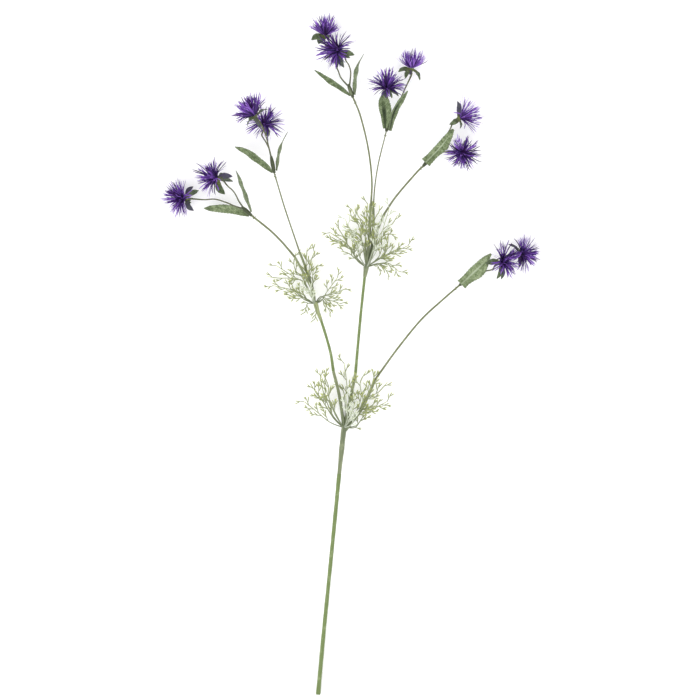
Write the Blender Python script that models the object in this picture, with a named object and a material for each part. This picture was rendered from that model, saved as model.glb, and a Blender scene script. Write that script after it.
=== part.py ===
"""A cut spray of meadow-rue, lying on a table.

One stem carries three moulded forks with finely divided fronds, and six leafy sprigs with
two violet heads each. Places are in millimetres, as (right, along, up), from the table under
the stem's cut end, until each piece is placed in metres.
"""

import math
import random
from collections import namedtuple

import bmesh
import bpy
from mathutils import Matrix, Quaternion, Vector
from mathutils.bvhtree import BVHTree

MM = 0.001
UP = Vector((0, 0, 1))
GAP = 0.3
TABLE_CLEARANCE = 0.6
GOLDEN_ANGLE = math.pi * (3 - math.sqrt(5))

Head = namedtuple("Head", "centre heading tilt spread reach stalk rests bracts")
Leaf = namedtuple("Leaf", "route roll fold left right")
Sprig = namedtuple("Sprig", "stem radii sleeve heads leaves")
Frond = namedtuple("Frond", "reach roll route")
Fork = namedtuple("Fork", "socket socket_radii arm_radius arms fronds")

# The stems, from the cut end up. A piece that carries on from another starts at its end.
MAIN_STEM = [(-0.2, -1.2, 2.1), (4.8, 54.5, 5.0), (10.7, 114.5, 8.2), (16.6, 174.5, 12.0), (21, 220.5, 15)]
MAIN_RADII = (2.1, 1.95, 1.85, 1.9, 2.0)
MAIN_RINGS = 9
LEFT_BRANCH = [(15.2, 323.2, 17.5), (12.6, 340.5, 17.6), (8.4, 356.5, 17.8), (3, 373.8, 18)]
MIDDLE_BRANCH = [(37.2, 320.5, 18.5), (40.1, 353.5, 18.9), (43.1, 385.5, 19.4), (46.5, 417.5, 20)]
BRANCH_RADII = {"left": (1.4, 1.3), "middle": (1.4, 1.3)}
BRANCH_RINGS = 6
BRANCH_SIDES = 8
SPRIG_RINGS = 9
SPRIG_SIDES = 6
SMOOTH_ANGLE = 50

FORKS = {
    "lower_fork": Fork(
        socket=[(21, 220.5, 15), (23.4, 244.5, 16.2), (26, 269, 17)],
        socket_radii=(2.0, 2.15, 2.75, 2.45, 2.9),
        arm_radius=1.75,
        arms=[
            [(25.9, 264, 17), (23.9, 281.3, 17.2), (20.4, 302.4, 17.4), (15.2, 323.2, 17.5)],
            [(26.5, 264, 17), (30, 284.5, 17.6), (33.4, 302, 18.1), (37.2, 320.5, 18.5)],
            [(27, 264, 17), (33.2, 272, 16.8), (41.5, 282.7, 16.9), (49.3, 297.5, 17.6), (56.5, 314.2, 18.3)],
        ],
        fronds=[
            Frond(15, -10, [(25, 267, 17), (11.2, 272.5, 14), (-3, 284, 10), (-14.5, 293, 7)]),
            Frond(15, -4, [(25, 267, 17), (16.3, 275.1, 18), (8.6, 286.6, 18), (-3, 305, 17)]),
            Frond(15, 14, [(25, 267, 18), (18.8, 278.3, 22), (12.4, 292.3, 27), (3, 319, 33)]),
            Frond(15, 0, [(26, 267, 16), (31, 287, 12.5), (29, 307, 10), (26, 331, 8)]),
            Frond(15, 10, [(26, 267, 18), (35.4, 277.6, 22), (45.6, 289.8, 26), (56, 316, 32)]),
            Frond(14, 18, [(26, 267, 17), (38, 269, 16.5), (48.2, 280.8, 15), (69, 293, 11)]),
            Frond(13, 0, [(26, 267, 18), (30, 272, 27), (33, 280, 35), (37, 292, 42)]),
        ],
    ),
    "left_fork": Fork(
        socket=[(3, 373.8, 18), (-0.6, 383.5, 18.2), (-3, 392.5, 18.4)],
        socket_radii=(1.6, 2.0, 2.4),
        arm_radius=1.35,
        arms=[
            [(-2.6, 389, 18.6), (-7.2, 407, 20.6), (-12, 416, 21.4), (-17, 426, 21.2), (-23.6, 437.7, 20.6)],
            [(-3.2, 389, 18.2), (-5, 404, 16.4), (-9.4, 416.5, 15.4), (-14, 430.7, 15.4), (-18.5, 442.2, 16)],
        ],
        fronds=[
            Frond(14, -8, [(-3, 391, 19), (-14.5, 411.5, 25), (-24.2, 417.5, 28), (-42, 429, 31)]),
            Frond(15, -12, [(-3, 391, 18), (-14, 395, 15), (-25, 404, 12), (-45, 409, 9)]),
            Frond(15, 8, [(-3, 391, 18), (3.5, 394, 19), (9, 403, 21), (19.5, 417, 24)]),
            Frond(14, 16, [(-3, 391, 18), (2.5, 398, 16), (10, 395, 14), (22, 391, 12)]),
            Frond(14, 0, [(-3, 391, 17), (-7, 412, 12), (-9, 427, 9.5), (-4, 443, 8)]),
            Frond(12, 0, [(-3, 391, 19), (-5, 396, 27), (-9, 403, 33), (-16, 408, 37)]),
        ],
    ),
    "middle_fork": Fork(
        socket=[(46.5, 417.5, 20), (47.5, 423.5, 20.2), (48.2, 429, 20.4)],
        socket_radii=(1.7, 2.3, 2.8),
        arm_radius=1.5,
        arms=[
            [(48, 426, 20.6), (49.4, 441, 22.6), (51.2, 456.7, 24), (51.9, 472.6, 23.8), (52.7, 488.2, 22.8)],
            [(48.4, 426, 20.2), (52, 441.5, 18.4), (54.6, 454, 17), (55.3, 470, 16.8), (55.1, 486.7, 17)],
            [(48.6, 426, 20.4), (52.6, 437, 20.6), (56.4, 450.6, 20.6), (60, 466, 20.2), (66.3, 480.9, 19.8)],
        ],
        fronds=[
            Frond(15, -6, [(47.5, 427.5, 21), (40.6, 439, 26), (36.9, 452.7, 30), (27, 475, 35)]),
            Frond(15, -10, [(47.5, 427.5, 20), (37.5, 438, 17.5), (29, 450.5, 15), (12, 462, 12)]),
            Frond(15, 4, [(48.5, 427.5, 20), (62.2, 436, 19), (74, 441.5, 17), (90, 449, 14)]),
            Frond(13, 14, [(48.5, 427.5, 20), (62, 431.2, 16), (71, 431, 13), (81, 423, 9)]),
            Frond(15, 0, [(48, 427.5, 19), (47, 450, 13), (48, 470, 9), (49.5, 491, 7)]),
            Frond(15, 6, [(48.5, 427.5, 21), (59, 445, 29), (64, 463, 35), (71, 486, 40)]),
            Frond(13, -6, [(48, 427.5, 20), (44, 452, 15.5), (40, 470, 13.5), (34, 485, 12)]),
        ],
    ),
}

SPRIGS = [
    Sprig(
        stem=[(-23.6, 437.7, 20.6), (-36.3, 452.5, 20.2), (-48.5, 464.5, 20), (-66.4, 478.8, 20)],
        radii=(1.0, 0.95),
        sleeve=[(-66.4, 478.8, 20), (-76.5, 487.7, 20)],
        heads=[
            Head((-135, 496.5, 15.5), 183, 14, 104, 22.5,
                 [(-84, 488.6, 19.4), (-91, 491.7, 18.4), (-103, 495.4, 15.6), (-114, 495, 13.2)], True,
                 [(16.2, 7.8, 5), (9.3, 11.8, -7), (10.5, -12.8, 3), (10, -3, -11)]),
            Head((-102.8, 516.4, 24.5), 156, 14, 108, 22.5,
                 [(-79.4, 493.4, 22.2), (-81.8, 498.4, 23), (-85.4, 503.9, 22.6), (-90.5, 508.4, 22)], False,
                 [(17.8, -3.5, 4), (9.3, -16.1, -2), (11, 5, -8), (9, -4, -10)]),
        ],
        leaves=[
            Leaf([(-69, 479, 18.4), (-81, 483.4, 16.2), (-96, 486.3, 12.4), (-114.8, 486.5, 8)], -14, 18,
                 (1.2, 3.2, 4.1, 4.4, 4.5, 4.4, 3.3, 0.4), (1.4, 3.6, 4.5, 5.2, 4.9, 4.2, 3.2, 0.4)),
            Leaf([(-67.1, 482.3, 21), (-74.9, 502.2, 26.5), (-82.2, 523.8, 31)], 66, 14,
                 (1.8, 3.6, 4.6, 4.8, 4.8, 4.4, 3.2, 0.3), (1.8, 3.6, 4.6, 4.8, 5.2, 4.2, 3.0, 0.3)),
        ],
    ),
    Sprig(
        stem=[(-18.5, 442.2, 16), (-26.1, 464.5, 17.6), (-34.1, 488.5, 19), (-43.9, 521.4, 20)],
        radii=(0.75, 0.68),
        sleeve=[(-43.9, 521.4, 20), (-47.2, 538.4, 20.6)],
        heads=[
            Head((-64.3, 579.8, 41), 128, 8, 76, 24.5,
                 [(-49.2, 546.5, 24), (-52, 557.5, 31.5), (-55.2, 566, 37)], False,
                 [(-6.2, -12.4, 0), (13.9, 4.3, 0), (8, -15.5, 4), (4, -6, -10)]),
            Head((-53.6, 570.8, 17), 66, 34, 106, 21,
                 [(-48.9, 545, 17), (-52.6, 553, 11.5), (-56.6, 559.5, 9)], False,
                 [(1.8, -12.4, 0), (3.9, -12.6, -4), (-10, 2, -9), (10, -3, -8)]),
        ],
        leaves=[
            Leaf([(-45.4, 522.2, 19.6), (-59.6, 533.8, 17), (-71.5, 542.3, 14), (-83.5, 548, 12)], -20, 18,
                 (1.2, 2.4, 3.1, 3.4, 3.3, 2.8, 2.3, 0.4), (1.2, 3.6, 4.4, 4.6, 4.5, 4.1, 3.2, 0.5)),
            Leaf([(-41.4, 523.8, 20.6), (-38.7, 540.7, 23.2), (-36, 551.2, 25), (-30.2, 562.6, 27)], -62, 14,
                 (1.8, 3.2, 3.9, 3.8, 2.9, 1.7, 0.7, 0.4), (1.8, 3.0, 3.7, 3.8, 3.0, 1.8, 0.7, 0.4)),
        ],
    ),
    Sprig(
        stem=[(52.7, 488.2, 22.8), (53.6, 514.5, 22), (49.9, 546.5, 21.2),
              (42.2, 578.5, 20.4), (34.8, 597, 20)],
        radii=(0.88, 0.82),
        sleeve=[(34.8, 597, 20), (29.9, 610.4, 20)],
        heads=[
            Head((6.9, 661.5, 16), 88, 6, 84, 19.5,
                 [(22.9, 616.6, 16), (20.4, 623, 11), (15.5, 634.5, 9.5), (9.8, 645, 11.8)], False,
                 [(-13.8, -6.5, 0), (-6.5, -10.7, 7), (3.8, -6.9, 9), (8, -6, -9)]),
            Head((19.8, 643.6, 31), 154, 24, 118, 23,
                 [(32.1, 616, 22), (32.4, 623, 24.6), (30.5, 629.3, 25.5), (27.2, 634.6, 26.4)], False,
                 [(16.2, -5.2, 3), (2.6, -17.5, 2), (6, 5, -13), (4, -9, -12)]),
        ],
        leaves=[
            Leaf([(32.4, 599.2, 19.6), (22, 607, 17), (10, 615.3, 13.8), (-3.9, 625, 10)], -24, 16,
                 (1.2, 2.2, 2.8, 3.3, 3.3, 2.5, 1.6, 0.3), (1.2, 2.1, 2.8, 3.1, 3.0, 2.5, 1.9, 0.3)),
            Leaf([(36.6, 599.6, 20.6), (37.7, 616, 23), (39.9, 628.5, 24.6), (45.6, 640.3, 26)], -60, 14,
                 (2.0, 3.6, 4.4, 4.4, 3.9, 2.8, 0.7, 0.4), (2.0, 3.6, 4.4, 4.4, 4.1, 3.0, 0.7, 0.4)),
        ],
    ),
    Sprig(
        stem=[(55.1, 486.7, 17), (56.7, 508.5, 18), (60.5, 532.5, 18.8), (68.1, 563, 19.4)],
        radii=(0.66, 0.58),
        sleeve=[(68.1, 563, 19.4), (70.4, 575.6, 18.6)],
        heads=[
            Head((68.8, 606.5, 31), 92, 26, 100, 21.5,
                 [(70.4, 583, 18.6), (69.8, 590, 21.4)], False,
                 [(11.5, -8.9, 2), (-1.6, -11.2, 4), (-9, -6, -8), (8, -2, -11)]),
            Head((93.4, 628.5, 16), 88, 6, 80, 19.5,
                 [(74.6, 583, 14.4), (81.6, 594.5, 10.4), (87, 606.5, 10.6)], False,
                 [(-13.1, -5.8, 0), (-6.4, -12.5, 6), (8.4, -14.4, 3), (5, -8, -9)]),
        ],
        leaves=[
            Leaf([(67.2, 566, 23), (66.2, 577, 24.6), (64.9, 589, 25.8), (64.4, 599, 26.4)], -10, 30,
                 (2.6, 3.2, 3.8, 4.4, 5.0, 5.3, 4.7, 1.8), (2.6, 5.0, 7.6, 9.4, 10.4, 10.4, 8.8, 3.0)),
            Leaf([(71.2, 563.8, 20.2), (75.4, 582, 20.8), (82, 593.6, 21.8), (89.4, 603.6, 23.2)], 38, 20,
                 (2.2, 3.4, 4.0, 3.9, 3.7, 3.4, 2.8, 0.6), (2.2, 3.2, 4.0, 4.4, 4.4, 3.9, 2.9, 0.7)),
        ],
    ),
    Sprig(
        stem=[(66.3, 480.9, 19.8), (78, 498.3, 20), (98.4, 522, 20), (104.8, 528.2, 20)],
        radii=(0.95, 0.9),
        sleeve=[(104.8, 528.2, 20), (113.4, 538, 19.4)],
        heads=[
            Head((143.9, 577.3, 16.5), 20, 8, 82, 24.5,
                 [(119.5, 547.5, 17.4), (127, 558, 14.6), (132.2, 565.8, 13.2)], True,
                 [(-4.7, 16.3, 0), (-12.8, -7.3, 6), (-2, -11.3, 2), (-3, 2, -12)]),
            Head((144.4, 541.6, 22), -60, 78, 98, 20,
                 [(121, 541.5, 15.5), (131.5, 543.6, 8.6), (138.5, 544.6, 5.8)], False,
                 [(-13.8, 3.2, -6), (3, 13, -9), (12, -3, -9), (-3, -8, -9)]),
        ],
        leaves=[
            Leaf([(107.2, 532, 23.4), (120.4, 545.4, 25.2), (130.8, 558.2, 26.4), (135, 565, 27)], 6, 8,
                 (5.4, 5.0, 4.8, 4.8, 5.0, 4.8, 3.5, 1.4), (5.5, 5.2, 5.1, 6.0, 7.2, 5.0, 3.4, 1.2)),
            Leaf([(107.4, 532, 16), (119.5, 544, 11.5), (130, 555, 6)], -6, 10,
                 (2.2, 3.4, 4.0, 4.2, 4.0, 3.2, 2.0, 0.3), (2.2, 3.4, 4.0, 4.2, 4.0, 3.2, 2.0, 0.3)),
        ],
    ),
    Sprig(
        stem=[(56.5, 314.2, 18.3), (78.2, 344.4, 19), (102.4, 374.2, 19.6),
              (123.6, 394, 20), (141.2, 409.2, 20)],
        radii=(1.0, 0.9),
        sleeve=[(141.2, 409.2, 20), (151.6, 417.2, 19.4)],
        heads=[
            Head((184.3, 432.5, 31), 20, 26, 110, 21,
                 [(159.4, 421, 20.6), (167.6, 423.4, 23), (174, 425, 25.2)], False,
                 [(-16.9, -1.8, 0), (-3.8, -16.4, 1), (-5, 5, -13), (5, -8, -11)]),
            Head((203.8, 440.9, 16.5), 0, 14, 108, 22,
                 [(160.8, 424.6, 15), (174, 432.6, 10.4), (187, 438.4, 10.8)], False,
                 [(-3.4, -14.7, 0), (-13.8, 9.6, 0), (-8, -4, -11), (-5, 6, -12)]),
        ],
        leaves=[
            Leaf([(142.8, 410.2, 23.6), (156, 422.8, 25.2), (166, 432.6, 26.2), (172.8, 440.6, 27)], 8, 8,
                 (5.5, 5.4, 5.5, 5.8, 5.9, 5.5, 4.1, 0.9), (5.8, 5.8, 7.5, 9.2, 8.9, 6.6, 2.8, 0.9)),
            Leaf([(144.4, 411, 16), (155, 420.6, 10.5), (168, 430.6, 3.5)], -10, 10,
                 (2.7, 4.1, 5.0, 5.4, 5.2, 4.2, 2.6, 0.3), (2.7, 4.1, 5.0, 5.4, 5.2, 4.2, 2.6, 0.3)),
        ],
    ),
]

# Heads: a small round core ahead of the calyx, with a strand drawn out of each facet of its front.
CORE_RADIUS = 3.0
CORE_LEAD = 1.4
CORE_POINTS = 62
STRAND_SHORTEST = 0.86
STRAND_SWAY = 0.07
STRAND_CUTS = (1, 0.8, 0.62, 0.45)
STRAND_CLEARANCE = 0.45
STRAND_ROOT_WIDTH = 1.3

# Calyx: a cup behind the core, and bracts that arch from its rim to their tips.
CUP_FRONT = CORE_RADIUS - CORE_LEAD + GAP
CUP_BACKS = (0, 1.3, 3.8)
CUP_RADII = (2.3, 2.7, 1.3)
CALYX_BACK = CUP_FRONT + CUP_BACKS[-1]
CUP_SIDES = 6
BRACT_ROOT = (CUP_FRONT + 1.2, 1.2)
BRACT_ARCH = 0.16
BRACT_ROWS = 5
BRACT_HALF_WIDTHS = (1.4, 3.6, 3.9, 2.7, 0.35)
BRACT_FOLD = 14

# Leaves: a folded blade with a waved edge.
BLADE_THICKNESS = 0.7
LEAF_ROWS = 11
LEAF_WAVE = 0.13
SEAT_STEP = 0.05
SEAT_START = 4

# Sleeves and the two stalks that leave each of them.
SLEEVE_RADII = (1.3, 2.0, 1.9, 1.4)
SLEEVE_RINGS = 4
STALK_RADII = (0.85, 0.7)
STALK_RINGS = 8
STALK_SIDES = 5
STALK_LEAD = 3.5

# Forks: a socket for the stem below, and an arm for each stem above.
SOCKET_RINGS = 5
SOCKET_SIDES = 8
ARM_RINGS = 9
ARM_SIDES = 6
ARM_TAPER = 0.85

# Fronds: a spine with forked twigs on alternate sides, thicker at their blunt tips.
SPINE_RADII = (0.8, 0.65, 0.5)
SPINE_RINGS = 6
TWIG_SIDES = 3
TWIG_PLACES = (0.36, 0.5, 0.62, 0.74, 0.86, 0.98)
TWIG_ANGLE = 40
TWIG_RADII = (0.42, 0.62)
TWIG_SHRINK = 0.35
TWIG_ROLL = 14
TIP_PLACE = 0.42
TIP_LENGTH = 0.5
TIP_ANGLE = 42

COLOURS = {
    "stem": ((0.2, 0.26, 0.12), 0.55),
    "fork": ((0.34, 0.42, 0.21), 0.5),
    "leaf": ((0.2, 0.25, 0.14), 0.8),
    "stalk": ((0.13, 0.16, 0.09), 0.55),
    "calyx": ((0.12, 0.17, 0.08), 0.75),
    "head": ((0.09, 0.045, 0.24), 0.7),
}


def clear_scene():
    for thing in list(bpy.data.objects):
        bpy.data.objects.remove(thing, do_unlink=True)


def material(kind):
    """The material for one kind of piece, made once."""
    if kind in bpy.data.materials:
        return bpy.data.materials[kind]
    colour, roughness = COLOURS[kind]
    made = bpy.data.materials.new(kind)
    made.use_nodes = True
    shader = made.node_tree.nodes["Principled BSDF"]
    shader.inputs["Base Color"].default_value = (*colour, 1)
    shader.inputs["Roughness"].default_value = roughness
    shader.inputs["Metallic"].default_value = 0
    return made


def closed_mesh(bm, name):
    """Turns a bmesh into a mesh whose faces point out."""
    bmesh.ops.recalc_face_normals(bm, faces=bm.faces)
    mesh = bpy.data.meshes.new(name)
    bm.to_mesh(mesh)
    bm.free()
    return mesh


def smooth(route, count):
    """Points at even steps along a Catmull-Rom curve through the route."""
    stops = [Vector(stop) for stop in route]
    ends = [2 * stops[0] - stops[1], *stops, 2 * stops[-1] - stops[-2]]
    steps = 16
    fine = []
    for a, b, c, d in zip(ends, ends[1:], ends[2:], ends[3:]):
        for step in range(steps):
            t = step / steps
            curve = 2 * b + (c - a) * t + (2 * a - 5 * b + 4 * c - d) * t**2
            fine.append(0.5 * (curve + (3 * b - a - 3 * c + d) * t**3))
    fine.append(stops[-1])
    travelled = [0.0]
    for here, there in zip(fine, fine[1:]):
        travelled.append(travelled[-1] + (there - here).length)
    points = []
    place = 0
    for target in (travelled[-1] * i / (count - 1) for i in range(count)):
        while place < len(fine) - 2 and travelled[place + 1] < target:
            place += 1
        share = (target - travelled[place]) / (travelled[place + 1] - travelled[place])
        points.append(fine[place].lerp(fine[place + 1], min(1, share)))
    return points


def directions(points):
    """The way the line runs at each of its points."""
    last = len(points) - 1
    return [(points[min(i + 1, last)] - points[max(i - 1, 0)]).normalized() for i in range(last + 1)]


def blend(values, share):
    """The value at a share, from 0 to 1, of an evenly spaced list."""
    place = share * (len(values) - 1)
    low = min(int(place), len(values) - 2)
    return values[low] + (values[low + 1] - values[low]) * (place - low)


def tube(name, points, radii, sides):
    """A closed tube along the points, whose radius runs evenly through the radii."""
    bm = bmesh.new()
    ways = directions(points)
    side = ways[0].cross(UP).normalized()
    rings = []
    for i, (point, way) in enumerate(zip(points, ways)):
        if i:
            side = ways[i - 1].rotation_difference(way) @ side
        side = (side - way * side.dot(way)).normalized()
        radius = blend(radii, i / (len(points) - 1))
        around = [Quaternion(way, 2 * math.pi * k / sides) @ side for k in range(sides)]
        rings.append([bm.verts.new(point + radius * out) for out in around])
    for ring, following in zip(rings, rings[1:]):
        for k in range(sides):
            bm.faces.new((ring[k - 1], ring[k], following[k], following[k - 1]))
    bm.faces.new(rings[0])
    bm.faces.new(rings[-1])
    return closed_mesh(bm, name)


def blade(name, points, half_widths, normals, fold):
    """A thin closed blade along its rib, which has a half width on its left and on its right."""
    bm = bmesh.new()
    lean = math.radians(fold)
    faces = []
    for skin in (BLADE_THICKNESS / 2, -BLADE_THICKNESS / 2):
        rows = []
        for point, way, (left, right), normal in zip(points, directions(points), half_widths, normals):
            side = way.cross(normal).normalized()
            up = side.cross(way).normalized()
            level = math.cos(lean) * side
            rise = math.sin(lean) * up
            edges = [half * level + abs(half) * rise for half in (-left, 0, right)]
            rows.append([bm.verts.new(point + skin * up + edge) for edge in edges])
        for row, following in zip(rows, rows[1:]):
            for edge in (0, 2):
                bm.faces.new((row[edge], row[1], following[1]))
                bm.faces.new((row[edge], following[1], following[edge]))
        left = [row[0] for row in rows]
        right = [row[2] for row in reversed(rows)]
        faces.append([*left, rows[-1][1], *right, rows[0][1]])
    top, bottom = faces
    for k in range(len(top)):
        bm.faces.new((top[k - 1], top[k], bottom[k], bottom[k - 1]))
    return closed_mesh(bm, name)


def fused(name, meshes):
    """One mesh from closed meshes that cross each other, by a Boolean union."""
    whole = bpy.data.objects.new(name, meshes[0])
    bpy.context.scene.collection.objects.link(whole)
    others = bpy.data.collections.new(name + "_others")
    bpy.context.scene.collection.children.link(others)
    for mesh in meshes[1:]:
        others.objects.link(bpy.data.objects.new(name + "_other", mesh))
    union = whole.modifiers.new("union", "BOOLEAN")
    union.operation = "UNION"
    union.operand_type = "COLLECTION"
    union.collection = others
    union.solver = "MANIFOLD"
    depsgraph = bpy.context.evaluated_depsgraph_get()
    joined = bpy.data.meshes.new_from_object(whole.evaluated_get(depsgraph))
    for part in [*others.objects, whole]:
        bpy.data.objects.remove(part, do_unlink=True)
    bpy.data.collections.remove(others)
    return joined


def tree_of(meshes):
    """One search tree over the faces of the meshes."""
    places = []
    faces = []
    for mesh in meshes:
        first = len(places)
        places.extend(vertex.co.copy() for vertex in mesh.vertices)
        faces.extend([first + corner for corner in face.vertices] for face in mesh.polygons)
    return BVHTree.FromPolygons(places, faces)


def is_clear(tree, start, end, start_width, end_width):
    """Whether a strand between two points stays clear of the tree's faces."""
    steps = 8
    for step in range(steps + 1):
        share = step / steps
        needed = STRAND_CLEARANCE + start_width + (end_width - start_width) * share
        if tree.find_nearest(start.lerp(end, share), needed)[0]:
            return False
    return True


def carried_on(route):
    """The route of a piece that starts just clear of the end of the one before."""
    start = Vector(route[0])
    return [start + GAP * (Vector(route[1]) - start).normalized(), *route[1:]]


def aim(head):
    """The way a head faces."""
    heading = math.radians(head.heading)
    tilt = math.radians(head.tilt)
    level = Vector((math.cos(heading), math.sin(heading), 0))
    return math.cos(tilt) * level + math.sin(tilt) * UP


def calyx_mesh(name, head):
    """The cup behind a head, with its bracts."""
    way = aim(head)
    centre = Vector(head.centre)
    backs = [centre - way * (CUP_FRONT + back) for back in CUP_BACKS]
    parts = [tube(name, backs, CUP_RADII, CUP_SIDES)]
    back, radius = BRACT_ROOT
    for offset in map(Vector, head.bracts):
        out = (offset - way * offset.dot(way)).normalized()
        root = centre - way * back + out * radius
        tip = centre + offset
        middle = root.lerp(tip, 0.5) + BRACT_ARCH * (tip - root).length * (out + way).normalized()
        rib = smooth([root, middle, tip], BRACT_ROWS)
        half_widths = [(half, half) for half in BRACT_HALF_WIDTHS]
        parts.append(blade(name, rib, half_widths, [out + way] * BRACT_ROWS, BRACT_FOLD))
    return fused(name, parts)


def head_mesh(name, head, tree, seed):
    """A head's core, with a strand from each facet of its front that has room for one."""
    rng = random.Random(seed)
    way = aim(head)
    turn = way.to_track_quat("Z", "Y")
    centre = Vector(head.centre)
    lowest = 0 if head.rests else TABLE_CLEARANCE
    bm = bmesh.new()
    for i in range(CORE_POINTS):
        z = 1 - (2 * i + 1) / CORE_POINTS
        flat = math.sqrt(1 - z * z)
        around = GOLDEN_ANGLE * i
        bm.verts.new(CORE_RADIUS * Vector((flat * math.cos(around), flat * math.sin(around), z)))
    bmesh.ops.convex_hull(bm, input=bm.verts)
    middle = centre + CORE_LEAD * way
    bmesh.ops.transform(bm, matrix=Matrix.Translation(middle) @ turn.to_matrix().to_4x4(), verts=bm.verts)
    for facet in list(bm.faces):
        root = facet.calc_center_median()
        out = (root - middle).normalized()
        sway = Vector([rng.uniform(-STRAND_SWAY, STRAND_SWAY) for _ in range(3)])
        length = head.reach * rng.uniform(STRAND_SHORTEST, 1)
        if out.angle(way) > math.radians(head.spread):
            continue
        for cut in STRAND_CUTS:
            tip = centre + (out + sway).normalized() * length * cut
            tip.z = max(tip.z, lowest)
            if is_clear(tree, root, tip, STRAND_ROOT_WIDTH, 0):
                poked = bmesh.ops.poke(bm, faces=[facet])
                poked["verts"][0].co = tip
                break
    return closed_mesh(bm, name)


def leaf_mesh(name, leaf, tree):
    """A leaf, brought up to what carries it until it sits just clear."""
    points = smooth(leaf.route, LEAF_ROWS)
    ways = directions(points)
    half_widths = []
    for row in range(LEAF_ROWS):
        share = row / (LEAF_ROWS - 1)
        kept = 1 - LEAF_WAVE * (row % 2)
        half_widths.append([kept * blend(outline, share) for outline in (leaf.left, leaf.right)])
    normals = [Quaternion(way, math.radians(leaf.roll)) @ UP for way in ways]
    mesh = blade(name, points, half_widths, normals, leaf.fold)
    inward = (tree.find_nearest(points[0])[0] - points[0]).normalized()
    mesh.transform(Matrix.Translation(-SEAT_START * inward))
    edges = [[mesh.vertices[corner] for corner in edge.vertices] for edge in mesh.edges]
    for _ in range(int(2 * SEAT_START / SEAT_STEP)):
        spots = [a.co.lerp(b.co, share) for a, b in edges for share in (0, 0.5)]
        if any(tree.find_nearest(spot, GAP + 2 * SEAT_STEP)[0] for spot in spots):
            break
        mesh.transform(Matrix.Translation(SEAT_STEP * inward))
    return mesh


def sleeve_mesh(name, sprig):
    """A sprig's sleeve, fused with the two stalks that leave it for the heads."""
    route = carried_on(sprig.sleeve)
    parts = [tube(name, smooth(route, SLEEVE_RINGS), SLEEVE_RADII, SPRIG_SIDES)]
    end = Vector(sprig.sleeve[-1])
    inside = end + STALK_LEAD * (Vector(sprig.sleeve[0]) - end).normalized()
    for head in sprig.heads:
        way = aim(head)
        foot = Vector(head.centre) - way * (CALYX_BACK + GAP)
        stalk = [inside, *head.stalk, foot - way * STALK_LEAD, foot]
        parts.append(tube(name, smooth(stalk, STALK_RINGS), STALK_RADII, STALK_SIDES))
    return fused(name, parts)


def frond_parts(name, frond, tree, seed):
    """The tubes of one frond, without the twigs that would meet another piece."""
    rng = random.Random(seed)
    parts = [tube(name, smooth(frond.route, SPINE_RINGS), SPINE_RADII, TWIG_SIDES)]
    fine = smooth(frond.route, 4 * SPINE_RINGS)
    ways = directions(fine)
    for k, place in enumerate(TWIG_PLACES):
        index = round(place * (len(fine) - 1))
        way = ways[index]
        across = Quaternion(way, math.radians(frond.roll + rng.uniform(-TWIG_ROLL, TWIG_ROLL))) @ UP
        hand = 1 if k % 2 else -1
        twig_way = Quaternion(across, math.radians(hand * TWIG_ANGLE * rng.uniform(0.8, 1.2))) @ way
        length = frond.reach * (1 - TWIG_SHRINK * place) * rng.uniform(0.85, 1.15)
        tip_way = Quaternion(across, math.radians(-hand * TIP_ANGLE * rng.uniform(0.8, 1.2))) @ twig_way
        root = fine[index]
        fork = root + twig_way * length * TIP_PLACE
        for start, end in ((root, root + twig_way * length), (fork, fork + tip_way * length * TIP_LENGTH)):
            end.z = max(end.z, TABLE_CLEARANCE + TWIG_RADII[1])
            if not is_clear(tree, start, end, *TWIG_RADII):
                break
            parts.append(tube(name, [start, end], TWIG_RADII, TWIG_SIDES))
    return parts


def fork_mesh(name, fork, tree, seed):
    """A fork: its socket, arms and fronds in one body."""
    socket = smooth(carried_on(fork.socket), SOCKET_RINGS)
    parts = [tube(name, socket, fork.socket_radii, SOCKET_SIDES)]
    arm_radii = (fork.arm_radius, fork.arm_radius * ARM_TAPER)
    for arm in fork.arms:
        parts.append(tube(name, smooth(arm, ARM_RINGS), arm_radii, ARM_SIDES))
    for k, frond in enumerate(fork.fronds):
        parts.extend(frond_parts(name, frond, tree, seed + k))
    return fused(name, parts)


def place(spray, name, mesh, kind, origin):
    """Puts a piece in the scene, with its own origin, as a child of the spray."""
    mesh.name = name
    mesh.transform(Matrix.Scale(MM, 4) @ Matrix.Translation(-Vector(origin)))
    mesh.materials.clear()
    mesh.materials.append(material(kind))
    if kind == "stem":
        mesh.shade_smooth()
        mesh.set_sharp_from_angle(angle=math.radians(SMOOTH_ANGLE))
    piece = bpy.data.objects.new(name, mesh)
    piece.location = MM * Vector(origin)
    piece.parent = spray
    bpy.context.scene.collection.objects.link(piece)


def build_stems():
    """The plain stems: name, mesh and origin of each."""
    main = tube("main_stem", smooth(MAIN_STEM, MAIN_RINGS), MAIN_RADII, BRANCH_SIDES)
    stems = [("main_stem", main, MAIN_STEM[0])]
    for name, route in (("left", LEFT_BRANCH), ("middle", MIDDLE_BRANCH)):
        points = smooth(carried_on(route), BRANCH_RINGS)
        stems.append((name + "_branch", tube(name, points, BRANCH_RADII[name], BRANCH_SIDES), route[0]))
    for number, sprig in enumerate(SPRIGS, 1):
        name = f"sprig_{number}_stem"
        points = smooth(carried_on(sprig.stem), SPRIG_RINGS)
        stems.append((name, tube(name, points, sprig.radii, SPRIG_SIDES), sprig.stem[0]))
    return stems


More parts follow.
